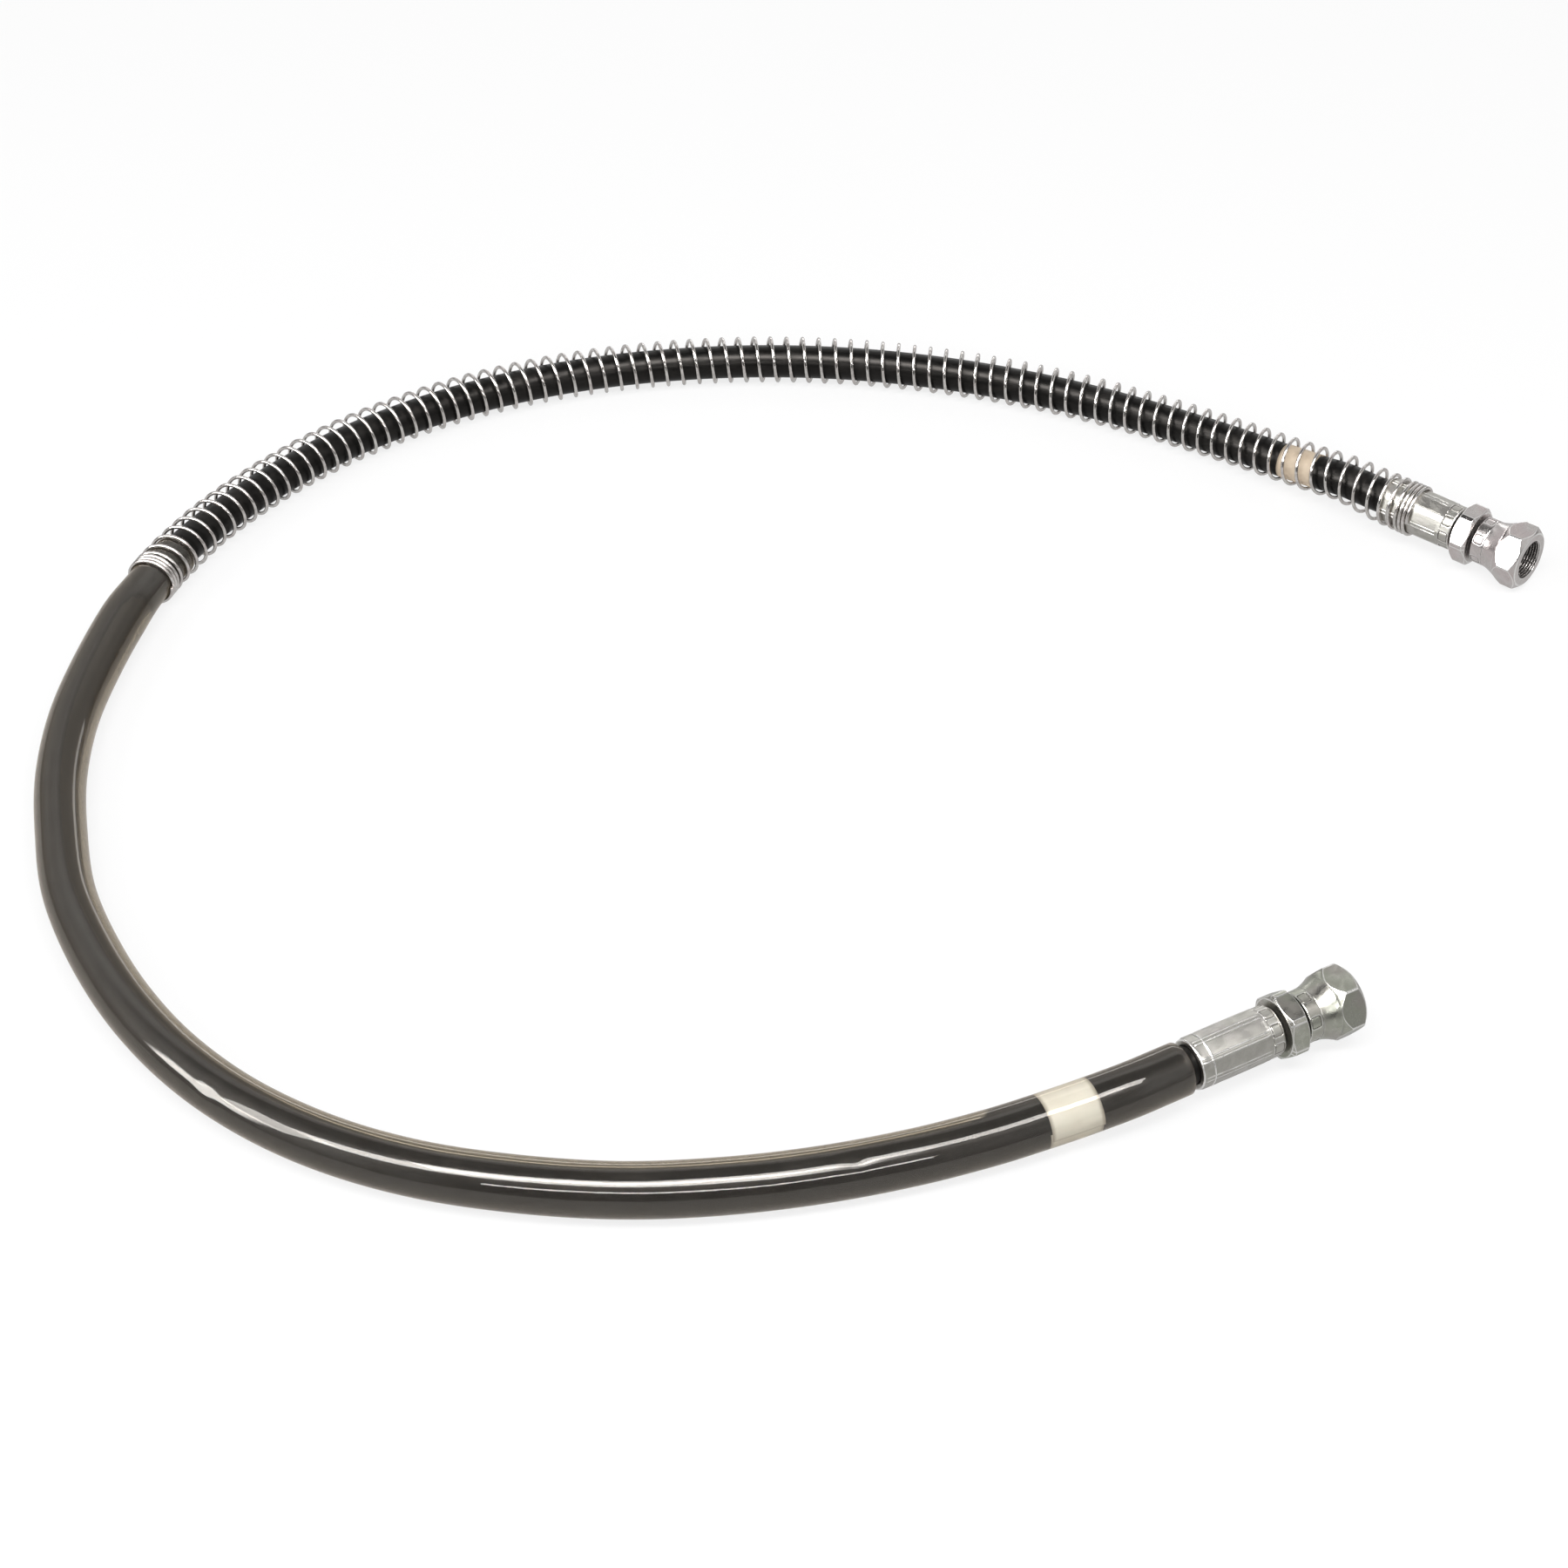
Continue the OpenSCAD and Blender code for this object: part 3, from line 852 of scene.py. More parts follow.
@dataclass(frozen=True)
class Route:
    """Where the hose lies, in metres: from inside the guard end's ferrule to inside the other."""

    guard_mouth: tuple[float, float] = (0.3182, 0.1847)
    guard_yaw: float = -39.9
    sleeve_mouth: tuple[float, float] = (0.1667, -0.2622)
    sleeve_yaw: float = 30.0
    insert_depth: float = 0.039
    straight_run: float = 0.025
    sleeve_gap: float = 0.0045
    # heights of the hose's middle: at a fitting, in the open coils, in the coils that grip the
    # sleeve, in the sleeve, and at the other fitting
    heights: tuple[float, ...] = (0.018372, 0.012212, 0.014527, 0.013, 0.018372)
    # x, y and the stage of the heights above that carries the hose there
    free_points: tuple[tuple[float, float, float], ...] = (
        (0.284, 0.2126, 0.3), (0.266, 0.2267, 0.6), (0.229, 0.2531, 0.9), (0.19, 0.2761, 1),
        (0.149, 0.296, 1), (0.107, 0.3116, 1), (0.064, 0.3232, 1), (0.019, 0.3308, 1),
        (-0.026, 0.3334, 1), (-0.07, 0.3311, 1), (-0.115, 0.324, 1), (-0.158, 0.312, 1),
        (-0.2, 0.2942, 1), (-0.238, 0.2715, 1), (-0.273, 0.244, 1), (-0.304, 0.211, 1.1),
        (-0.33, 0.175, 1.4), (-0.35, 0.138, 1.95), (-0.361, 0.111, 2), (-0.37, 0.083, 2.3),
        (-0.379, 0.039, 2.8), (-0.384, -0.005, 3), (-0.383, -0.05, 3), (-0.376, -0.094, 3),
        (-0.365, -0.138, 3), (-0.347, -0.179, 3), (-0.324, -0.218, 3), (-0.296, -0.253, 3),
        (-0.262, -0.283, 3), (-0.224, -0.306, 3), (-0.182, -0.322, 3), (-0.138, -0.331, 3),
        (-0.093, -0.335, 3), (-0.048, -0.333, 3), (-0.003, -0.326, 3), (0.04, -0.315, 3),
        (0.073, -0.304, 3.1), (0.0975, -0.2946, 3.3), (0.1215, -0.2849, 3.6),
    )  # fmt: skip
    # rings of the route where pieces on the hose start or end
    guard_label_at: int = 3
    sleeve_start_at: int = 20
    guard_end_at: int = 21
    sleeve_label_at: int = 40

    def height(self, stage: float) -> float:
        """Height of the hose's middle at a stage."""
        return float(np.interp(stage, range(len(self.heights)), self.heights))

    def mouth(self, sleeve_end: bool, turn: float = 0.0) -> Axis:
        """Axis of the fitting at one end, from its ferrule's mouth outwards.

        Args:
            sleeve_end: Whether it is the sleeve's end.
            turn: How far the piece is turned, in degrees.

        Returns:
            The axis.
        """
        place, yaw, height = self.guard_mouth, self.guard_yaw, self.heights[0]
        if sleeve_end:
            place, yaw, height = self.sleeve_mouth, self.sleeve_yaw, self.heights[-1]
        return Axis(np.array((*place, height)) / MM, yaw, turn)

    def centreline(self) -> Centreline:
        """Lays the whole hose's centreline.

        Returns:
            The curve.
        """
        guard, sleeve = self.mouth(False), self.mouth(True)
        inside = (self.insert_depth, 0.0, -self.straight_run)
        beside = (-self.straight_run, -self.sleeve_gap, 0.0, self.insert_depth)
        head = [guard.start * MM + guard.heading * x for x in inside]
        free = [np.array((x, y, self.height(stage))) for x, y, stage in self.free_points]
        tail = [sleeve.start * MM + sleeve.heading * x for x in beside]
        points = np.array(head + free + tail)
        fixed = {i: -guard.heading for i in range(len(head))}
        fixed |= {len(points) - 1 - i: sleeve.heading for i in range(len(tail))}
        return Centreline(points / MM, fixed)


# ---------------------------------------------------------------------------- the hose


@dataclass
class Hose:
    """The hose's five layers, each a swept tube."""

    path: Centreline
    finishes: Finishes
    bore_radius: float = 4.75
    tube_radius: float = 6.15
    inner_braid_radius: float = 6.87
    interlayer_radius: float = 7.19
    outer_braid_radius: float = 7.91
    cover_radius: float = 9.5
    layer_gap: float = 0.02
    edge: float = 0.3
    # length of a ring and number of sides
    cover_grid: tuple[float, int] = (4.0, 48)
    hidden_grid: tuple[float, int] = (9.0, 24)

    def layer(
        self, node: str, inner: float, outer: float, finish: bpy.types.Material, hidden: bool
    ) -> bpy.types.Object:
        """Makes one layer.

        Args:
            node: The node that the layer stands for.
            inner: Inner radius.
            outer: Outer radius.
            finish: Its material.
            hidden: Whether coarser rings will do.

        Returns:
            The layer.
        """
        length, edge = self.path.stations[-1], self.edge
        step, sides = self.hidden_grid if hidden else self.cover_grid
        middle = np.linspace(2 * edge, length - 2 * edge, round(length / step))
        stations = [edge, *middle.tolist(), length - edge]
        top, low = outer - edge, inner + edge / 2
        wall = [(x, outer, 0.0) for x in stations]
        bore = [(x, inner, 0.0) for x in stations[::-1]]
        loop = [(0.0, top, 0.0), *wall, (length, top, 0.0), (length, low, 0.0), *bore, (0.0, low, 0.0)]
        angles = np.linspace(0.0, 360.0, sides, endpoint=False)
        return skin(node + "_laid", self.path, angles, lambda angle: loop, finish)

    def build(self) -> bpy.types.Object:
        """Makes all layers.

        Returns:
            The cover.
        """
        f = self.finishes
        inner = self.bore_radius
        for node, slot, outer, finish in (
            ("inner_tube", "tube_rubber", self.tube_radius, f.tube),
            ("inner_wire_braid", "braid_wire", self.inner_braid_radius, f.braid),
            ("rubber_interlayer", "tube_rubber", self.interlayer_radius, f.tube),
            ("outer_wire_braid", "braid_wire", self.outer_braid_radius, f.braid),
            ("hose_cover", "hose_rubber", self.cover_radius, f.cover),
        ):
            made = self.layer(node, inner, outer, finish, hidden=finish is not f.cover)
            cover = seated(made, node, slot)
            inner = outer + self.layer_gap
        return cover


@dataclass
class LabelBand:
    """A strip of label film wrapped once round the hose, its end lapped over its start."""

    path: Centreline
    finish: bpy.types.Material
    node: str
    first_ring: int
    lap_angle: float
    hose_radius: float = 9.5
    clearance: float = 0.02
    film: float = 0.1
    lap: float = 24.0
    slip: float = 0.9

    def outline(self, angle: float) -> Loop:
        """Draws the loop round the strip's section.

        Args:
            angle: The angle, in degrees.

        Returns:
            The loop.
        """
        start, end = self.path.stations[self.first_ring : self.first_ring + 2]
        passed = angle - self.lap_angle
        shift = self.slip * passed / 360.0
        lift = smooth_step(passed, 350.0, 362.0) * self.film * 1.1
        low = self.hose_radius + self.clearance + lift
        # the lap's edges, the cut edges and the underside are marked -1: grime and painted shade
        grime_and_painted_shade = -1.0 if passed < 0.5 or passed > 359.5 + self.lap else 0.0
        stations = np.linspace(start, end, 14) + shift
        top = [(x, low + self.film, -1.0 if x in stations[[0, -1]] else grime_and_painted_shade) for x in stations]
        return top + [(x, low, -1.0) for x in stations[::-1]]

    def build(self) -> bpy.types.Object:
        """Makes the band.

        Returns:
            The band.
        """
        angles = np.linspace(self.lap_angle, self.lap_angle + 360.0 + self.lap, 140)
        piece = skin(self.node + "_film", self.path, angles, self.outline, self.finish, ends=True)
        return seated(piece, self.node, "label_film")


# ---------------------------------------------------------------------------- the guard


@dataclass
class SpringGuard:
    """A round wire wound along the hose, with closed coils at both ends."""

    path: Centreline
    route: Route
    finish: bpy.types.Material
    wire_radius: float = 1.0
    closed_pitch: float = 2.45
    open_pitch: float = 9.4
    ferrule_turns: int = 4
    sleeve_turns: int = 4
    overlap: float = 20.5
    end_gap: float = 0.45
    open_radius: float = 12.5
    ferrule_radius: float = 13.92
    sleeve_radius: float = 12.9
    hose_drop: float = 1.29
    grip_blend: float = 30.0
    steps_per_turn: int = 36
    wire_sides: int = 12
    pitch_ease: float = 0.7
    opening_lead: float = 0.6
    opening_turns: float = 2.2
    opening_pitch: float = 6.2
    wobble: float = 0.22

    def wound_stations(self) -> tuple[np.ndarray, np.ndarray]:
        """Spaces the turns, closed at both ends and eased into the open coils.

        Returns:
            Turn count and station of each point of the wire.
        """
        start = self.path.stations[1] - self.overlap
        stop = self.path.stations[self.route.guard_end_at] - self.end_gap
        open_start = start + self.ferrule_turns * self.closed_pitch
        open_stop = stop - self.sleeve_turns * self.closed_pitch
        open_turns = math.floor((open_stop - open_start) / self.open_pitch + 0.5)
        total = self.ferrule_turns + open_turns + self.sleeve_turns
        gripped = self.ferrule_turns - self.opening_lead
        gripped_at = start + gripped * self.closed_pitch
        opened_at = gripped_at + self.opening_turns * self.opening_pitch
        knots = (0, gripped, gripped + self.opening_turns, self.ferrule_turns + open_turns, total)
        places = (start, gripped_at, opened_at, open_stop, stop)
        turns = np.linspace(0, total, total * self.steps_per_turn + 1)
        eased = [
            np.interp(np.clip(turns + shift, 0, total), knots, places)
            for shift in np.linspace(-self.pitch_ease, self.pitch_ease, 9)
        ]
        inside = np.minimum(np.minimum(turns, total - turns), self.pitch_ease) / self.pitch_ease
        plain = np.interp(turns, knots, places)
        return turns, plain + inside * (np.mean(eased, axis=0) - plain)

    def axis_line(self) -> bpy.types.Object:
        """Draws the line that the wire is wound on, with the coil's size and lift at each point.

        Returns:
            The line.
        """
        turns, stations = self.wound_stations()
        mouth = self.path.stations[1]
        sleeve = self.path.stations[self.route.sleeve_start_at]
        wire = 2 * self.wire_radius
        knots = (mouth + wire, mouth + self.grip_blend, sleeve - self.grip_blend, sleeve - wire)
        sizes = (self.ferrule_radius, self.open_radius, self.open_radius, self.sleeve_radius)
        radii = np.interp(stations, knots, sizes)
        lifts = np.interp(stations, knots, (0.0, self.hose_drop, self.hose_drop, 0.0))
        position, side, up = self.path.frames(stations)
        mesh = bpy.data.meshes.new("spring_guard_axis")
        mesh.from_pydata((position * MM).tolist(), [(i, i + 1) for i in range(len(turns) - 1)], [])
        mark(mesh, side=side, up=up, turn=turns, coil_radius=radii * MM, lift=lifts * MM)
        return added("spring_guard_axis", mesh)

    def winding_tree(self) -> bpy.types.GeometryNodeTree:
        """Builds the Geometry Nodes that wind a round wire about a line.

        Returns:
            The node group.
        """
        group = bpy.data.node_groups.new("wound_wire", "GeometryNodeTree")
        t = Tree(group)
        for name, kind in (
            ("Line", "Geometry"),
            ("Wire Radius", "Float"),
            ("Wire Sides", "Int"),
            ("Wobble", "Float"),
            ("Finish", "Material"),
        ):
            group.interface.new_socket(name, in_out="INPUT", socket_type="NodeSocket" + kind)
        group.interface.new_socket("Wire", in_out="OUTPUT", socket_type="NodeSocketGeometry")
        given = t.node("NodeGroupInput").outputs

        def named(name: str, kind: str = "FLOAT") -> Socket:
            """Reads an attribute."""
            made = t.node("GeometryNodeInputNamedAttribute", {"Name": name}, data_type=kind)
            return next(socket for socket in made.outputs if socket.enabled)

        def stored(geometry: bpy.types.Node, name: str, value: Term, kind: str = "FLOAT_VECTOR") -> Socket:
            """Stores an attribute on points.

            Args:
                geometry: The node that gives the points.
                name: The attribute's name.
                value: What it holds.
                kind: Its type.

            Returns:
                The geometry with the attribute.
            """
            inputs = {"Geometry": geometry.outputs[0], "Name": name, "Value": value}
            made = t.node("GeometryNodeStoreNamedAttribute", inputs, data_type=kind, domain="POINT")
            return made.outputs[0]

        turn = Value(t, named("turn"))
        angle = turn * FULL_TURN
        waver = {"W": turn * 0.9, "Scale": 1.0, "Detail": 1.0}
        jitter = t.node("ShaderNodeTexNoise", waver, noise_dimensions="1D")
        radius = (Value(t, jitter.outputs[0]) - 0.5) * given["Wobble"] + named("coil_radius")
        across = t.math("COSINE", angle) * radius
        above = t.math("SINE", angle) * radius + named("lift")
        sideways = t.vector_math("SCALE", named("side", "FLOAT_VECTOR"), across)
        upwards = t.vector_math("SCALE", named("up", "FLOAT_VECTOR"), above)
        offset = t.vector_math("ADD", sideways, upwards)
        curve = t.node("GeometryNodeMeshToCurve", {0: given["Line"]}).outputs[0]
        wound = t.node("GeometryNodeSetPosition", {"Geometry": curve, "Offset": offset})
        run = t.node("GeometryNodeSplineParameter").outputs["Length"]
        sizes = {"Radius": given["Wire Radius"], "Resolution": given["Wire Sides"]}
        ring = t.node("GeometryNodeCurvePrimitiveCircle", sizes)
        place = t.node("GeometryNodeInputPosition").outputs[0]
        curves = {
            "Curve": stored(wound, "run", run, "FLOAT"),
            "Profile Curve": stored(ring, "around", place),
            "Fill Caps": True,
        }
        wire = t.node("GeometryNodeCurveToMesh", curves)
        section = t.parts(named("around", "FLOAT_VECTOR"))
        straight = t.node("ShaderNodeCombineXYZ", {0: named("run"), 1: section[0], 2: section[1]})
        laid = stored(wire, "lay", straight.outputs[0])
        real = t.node("GeometryNodeRealizeInstances", {0: laid}).outputs[0]
        smooth = t.node("GeometryNodeSetShadeSmooth", {0: real}).outputs[0]
        dressed = t.node("GeometryNodeSetMaterial", {"Geometry": smooth, "Material": given["Finish"]})
        t.node("NodeGroupOutput", {0: dressed.outputs[0]})
        return group

    def build(self) -> bpy.types.Object:
        """Winds the guard.

        Returns:
            The guard.
        """
        line = self.axis_line()
        modifier = line.modifiers.new("winding", "NODES")
        modifier.node_group = self.winding_tree()
        given = {
            "Wire Radius": self.wire_radius * MM,
            "Wire Sides": self.wire_sides,
            "Wobble": self.wobble * MM,
            "Finish": self.finish,
        }
        for item in modifier.node_group.interface.items_tree:
            if item.in_out == "INPUT" and item.name in given:
                modifier[item.identifier] = given[item.name]
        ready = line.evaluated_get(bpy.context.evaluated_depsgraph_get())
        mesh = bpy.data.meshes.new_from_object(ready)
        mesh.name = "spring_guard_wire"
        bpy.data.objects.remove(line)
        return seated(added(mesh.name, mesh), "spring_guard", "guard_wire")


# ---------------------------------------------------------------------------- the sleeve


@dataclass
class ClearSleeve:
    """Thick clear tube over the hose, squeezed where the guard grips it."""

    path: Centreline
    route: Route
    finish: bpy.types.Material
    hose_radius: float = 9.5
    outer_radius: float = 13.0
    grip_radius: float = 11.72
    flare: float = 36.0
    cling: float = 0.05
    loose_gap: float = 0.15
    edge: float = 0.45
    step: float = 3.0
    sides: int = 72
    ripple: float = 0.16
    ripple_length: float = 45.0
    ragged: float = 0.35
    # two small dents: distance back from the route's end, angle, and how deep each is
    dents: tuple[tuple[float, float, float], ...] = ((505.0, 226.0, 0.5), (205.0, 204.0, 0.45))
    dent_reach: float = 3.2

    def outer(self, station: float, angle: float) -> float:
        """Finds the outer radius, with the tube's slight unevenness.

        Args:
            station: The station.
            angle: The angle, in degrees.

        Returns:
            The radius.
        """
        mouth = self.path.stations[self.route.guard_end_at]
        opened = smooth_step(station, mouth, mouth + self.flare)
        radius = self.grip_radius + opened * (self.outer_radius - self.grip_radius)
        around = math.radians(angle)
        swell = wandering(station / self.ripple_length, 0.9 * math.cos(around), 0.9 * math.sin(around))
        radius += opened * self.ripple * (swell - 0.6)
        for back, at, depth in self.dents:
            along = station - (self.path.stations[-1] - back)
            across = math.radians((angle - at + 180.0) % 360.0 - 180.0) * self.outer_radius
            away = math.hypot(along / 1.6, across) / self.dent_reach
            radius -= depth * math.exp(-(away**2))
        return radius

    def looseness(self, station: float, angle: float) -> float:
        """Says how far the sleeve stands off the hose, which it does on the inside of the U.

        Args:
            station: The station.
            angle: The angle, in degrees.

        Returns:
            A share from 0 to 1.
        """
        start = self.path.stations[self.route.guard_end_at] + self.flare * 0.3
        label = self.path.stations[self.route.sleeve_label_at]
        begun = smooth_step(station, start, start + 40.0)
        ended = smooth_step(station, label - 50.0, label - 12.0)
        inward = max(0.0, math.sin(math.radians(angle)))
        return begun * (1.0 - ended) * min(1.0, 1.6 * inward)

    def outline(self, angle: float) -> Loop:
        """Draws the loop along the outer wall and back along the inner one, which clings to the hose.

        Args:
            angle: The angle, in degrees.

        Returns:
            The loop.
        """
        start, stop = self.path.stations[self.route.sleeve_start_at], self.path.stations[-3]
        count = round((stop - start) / self.step)
        stations = np.linspace(start + self.edge, stop - self.edge, count).tolist()
        gaps = [self.looseness(x, angle) for x in stations]
        # the wall is marked below 0 where it stands off the hose, for painted shade
        wall = [(x, self.outer(x, angle), -min(1.0, 5.0 * gap)) for x, gap in zip(stations, gaps)]
        inner, play = self.hose_radius - self.cling, self.cling + self.loose_gap
        bore = [(x, inner + gap * play, 0.0) for x, gap in zip(stations, gaps)][::-1]
        around = math.radians(angle)
        cut = stop + self.ragged * wandering(math.cos(around), math.sin(around), 3.1)
        return [
            (start, wall[0][1] - self.edge, 0.0),
            *wall,
            (cut, wall[-1][1] - self.edge, 0.0),
            (cut, bore[0][1], 0.0),
            *bore,
            (start, bore[-1][1], 0.0),
        ]

    def build(self) -> bpy.types.Object:
        """Makes the sleeve.

        Returns:
            The sleeve.
        """
        angles = np.linspace(0.0, 360.0, self.sides, endpoint=False)
        piece = skin("clear_sleeve_tube", self.path, angles, self.outline, self.finish)
        return seated(piece, "clear_sleeve", "clear_vinyl")


# ---------------------------------------------------------------------------- the fittings


@dataclass(frozen=True)
class FittingSizes:
    """Sizes of a fitting; stations run from the ferrule's mouth to the nut's face."""

    hose_radius: float = 9.52
    ferrule_radius: float = 12.5
    ferrule_length: float = 46.0
    end_wall: float = 4.0
    crimp_depth: float = 0.32
    ridge_height: float = 0.35
    ridge_width: float = 0.8
    ridge_gap: float = 1.2
    ring_at: float = 6.4
    crimps: int = 8
    neck_radius: float = 6.0
    collar: float = 2.0
    fit: float = 0.02
    stem_flats: float = 30.0
    stem_corner: float = 16.65
    stem_bevel: float = 1.4
    hex_start: float = 48.0
    hex_end: float = 58.0
    tail_radius: float = 4.568
    tail_start: float = 4.0
    stem_bore: float = 3.3
    nut_neck: float = 7.5
    flange_radius: float = 9.3
    flange_start: float = 70.0
    flange_length: float = 3.5
    nose: float = 78.5
    cone_angle: float = 12.0
    seal_cord: float = 1.5
    nut_flats: float = 32.0
    nut_corner: float = 18.272
    nut_start: float = 60.0
    nut_end: float = 90.0
    nut_tail_radius: float = 13.0
    nut_tail: float = 7.0
    nut_flare: float = 8.5
    flare_radius: float = 15.68
    rear_chamfer: float = 4.5
    nut_lip: float = 9.7
    face_radius: float = 15.2
    cavity_radius: float = 9.6
    neck_clearance: float = 0.1
    thread_minor: float = 10.188
    thread_major: float = 11.0
    thread_pitch: float = 1.5
    thread_start: float = 79.0
    relief_start: float = 77.0
    relief_radius: float = 11.188
    pad_length: float = 5.4
    pad_inset: float = 0.9
    ferrule_pad: float = 6.2
    nut_pad: float = 5.8


def pad_relief(along: float, across: float, length: float, width: float) -> tuple[float, float]:
    """Relief of a pressed pad: a low pillow with round corners, outlined by a groove.

    Args:
        along: Distance from the pad's middle along the axis.
        across: Distance from its middle round the axis.
        length: The pad's length.
        width: The pad's width.

    Returns:
        What the pad adds to the radius, and its marks: a painted highlight on the rim and painted shade in
        the groove.
    """
    corner = 1.1
    out_x = max(abs(along) - length / 2 + corner, 0.0)
    out_a = max(abs(across) - width / 2 + corner, 0.0)
    beyond = math.hypot(out_x, out_a) - corner
    sunk = 1.0 - smooth_step(beyond, -0.35, 0.05)
    groove = max(0.0, 1.0 - abs(beyond + 0.22) / 0.34)
    rim = max(0.0, 1.0 - abs(beyond - 0.3) / 0.3)
    # the rim is painted with a highlight and the groove with shade
    return -0.16 * sunk - 0.26 * groove, 0.9 * rim - 1.3 * groove


def stations_round(count: int, offsets: Sequence[float]) -> list[float]:
    """Repeats angles round a circle, mirrored about each sector's start.

    Args:
        count: How many sectors there are.
        offsets: Angles in half a sector, in degrees.

    Returns:
        All the angles, in order.
    """
    sector = 360.0 / count
    mirrored = sorted({*offsets, *(-a for a in offsets if 0 < a < sector / 2)})
    return [k * sector + a for k in range(count) for a in mirrored]


@dataclass(frozen=True)
class Hexagon:
    """A hexagon with turned corners; a corner lies at angle 0."""

    flats: float
    corner: float

    # close together at the corners' edges and at the nut's pads
    angles = (
        0.0, 0.9, 1.4, 2.6, 3.6, 4.3, 5.0, 7.5, 11.0, 14.5, 16.0,
        16.7, 17.3, 17.9, 18.5, 19.1, 19.8, 20.6, 22.0, 25.0, 30.0,
    )  # fmt: skip

    def radius(self, angle: float) -> float:
        """Radius at an angle."""
        return min(self.flats / 2 / math.cos(math.radians(angle % 60.0 - 30.0)), self.corner)

    def worn_and_painted_light(self, loop: Loop, angle: float, start: float, stop: float) -> Loop:
        """Marks the hexagon's lengthwise edges as rubbed, with a painted highlight.

        Args:
            loop: The outline at one angle.
            angle: That angle, in degrees.
            start: Station where the flats start.
            stop: Station where they stop.

        Returns:
            The outline with those marks.
        """
        land = 30.0 - math.degrees(math.acos(self.flats / 2 / self.corner))
        from_corner = abs((angle + 30.0) % 60.0 - 30.0)
        edge = 1.0 - smooth_step(abs(from_corner - land), 0.3, 1.4)
        low = self.flats / 2 - 0.2
        return [(x, r, max(w, edge) if start < x < stop and r > low else w) for x, r, w in loop]


@dataclass
class Fitting:
    """One end of the assembly: ferrule, stem and swivel nut on one axis."""

    end: str
    axis: Axis
    stem_axis: Axis
    nut_axis: Axis
    pressed: bpy.types.Material
    zinc: bpy.types.Material
    sizes: FittingSizes = field(default_factory=FittingSizes)

    def ferrule_surface(self, x: float, angle: float) -> tuple[float, float]:
        """Shapes the outside of the crimped ferrule.

        Args:
            x: The station.
            angle: The angle, in degrees.

        Returns:
            Its radius there, and its rubbed wear with painted highlight and shade.
        """
        z = self.sizes
        sector = 360.0 / z.crimps
        from_pair = (angle + sector / 2) % sector - sector / 2
        across = math.radians(from_pair) * z.ferrule_radius
        # flats between the pairs of ridges, slightly bowed lengthwise
        flat = z.ferrule_radius - z.crimp_depth
        pressed = flat / math.cos(math.radians(abs(from_pair) - sector / 2))
        radius = min(0.9 * pressed + 0.1 * 1.012 * flat, z.ferrule_radius + 0.1)
        radius += 0.22 * math.sin(math.pi * min(max((x - 7.0) / 31.0, 0.0), 1.0))
        # the paired ridges, each with a groove beside it; the crests are rubbed with a painted highlight
        # and the grooves darkened with a painted shadow
        pads_at = z.ferrule_length - z.pad_length - z.pad_inset
        fade = (1.0 - smooth_step(x, pads_at - 3.5, pads_at - 1.0)) * smooth_step(x, 0.9, 1.6)
        apart = abs(abs(across) - (z.ridge_gap + z.ridge_width) / 2) / z.ridge_width
        broken = 0.75 + 0.5 * wandering(x / 5.0, math.copysign(3.0, from_pair), angle // sector)
        lift = (1.0 - smooth_step(apart, 0.28, 0.5)) * fade * min(broken, 1.0)
        radius += lift * (z.ferrule_radius + z.ridge_height - radius)
        beside = smooth_step(apart, 0.4, 0.6) * fade
        # painted shadow in the groove beside each ridge
        wear = lift - 1.9 * beside * (1.0 - smooth_step(apart, 1.1, 1.9))
        radius -= 0.16 * beside * (1.0 - smooth_step(apart, 0.65, 1.05))
        # the ring behind the mouth, its crest rubbed with a painted highlight
        ring = 1.0 - smooth_step(abs(x - z.ring_at), 0.2, 0.42)
        radius += ring * max(z.ferrule_radius + z.ridge_height - 0.05 - radius, 0.0)
        wear = max(wear, ring)
        # pads pressed into the closed end, with a painted highlight on their rims and painted shade in
        # their grooves
        middle = z.ferrule_length - z.pad_inset - z.pad_length / 2
        relief, worn_and_painted_light = pad_relief(x - middle, across, z.pad_length, z.ferrule_pad)
        radius += 0.12 * smooth_step(x, pads_at - 2.6, pads_at - 0.6) + relief
        return radius, max(-1.0, min(1.0, wear + worn_and_painted_light))

    def ferrule(self) -> bpy.types.Object:
        """Makes the crimped ferrule.

        Returns:
            The ferrule.
        """
        z = self.sizes
        length = z.ferrule_length
        neck = z.neck_radius + z.fit
        lip = z.ferrule_radius - 0.15
        pads_at = length - z.pad_length - z.pad_inset
        stations = [2.0, 2.6, 3.6, 4.8, 5.6, 5.95, 6.05, 6.2, 6.4, 6.6, 6.75, 6.85, 7.2, 8.0]
        stations += [*np.linspace(9.5, 36.0, 22), 36.7, 37.3, 37.9, 38.4, 38.9, 39.3, 39.6]
        stations += [*(pads_at + np.arange(-0.12, 5.6, 0.22))]
        offsets = (
            0.0, 1.5, 2.4, 3.0, 3.6, 4.6, 5.6, 6.3, 7.2, 8.4, 9.6,
            10.4, 11.2, 12.0, 12.6, 13.2, 13.8, 14.4, 15.0, 15.8, 18.5, 22.5,
        )  # fmt: skip

        def outline(angle: float) -> Loop:
            """Draws the loop from the bore's mouth over the outside and back through the neck hole.

            Args:
                angle: The angle, in degrees.

            Returns:
                The loop.
            """
            around = math.radians(angle)
            wave = 0.12 * wandering(3 * math.cos(around), 3 * math.sin(around), 0.0)
            outside = [(x, *self.ferrule_surface(x, angle)) for x in stations]
            end = outside[-1][1]
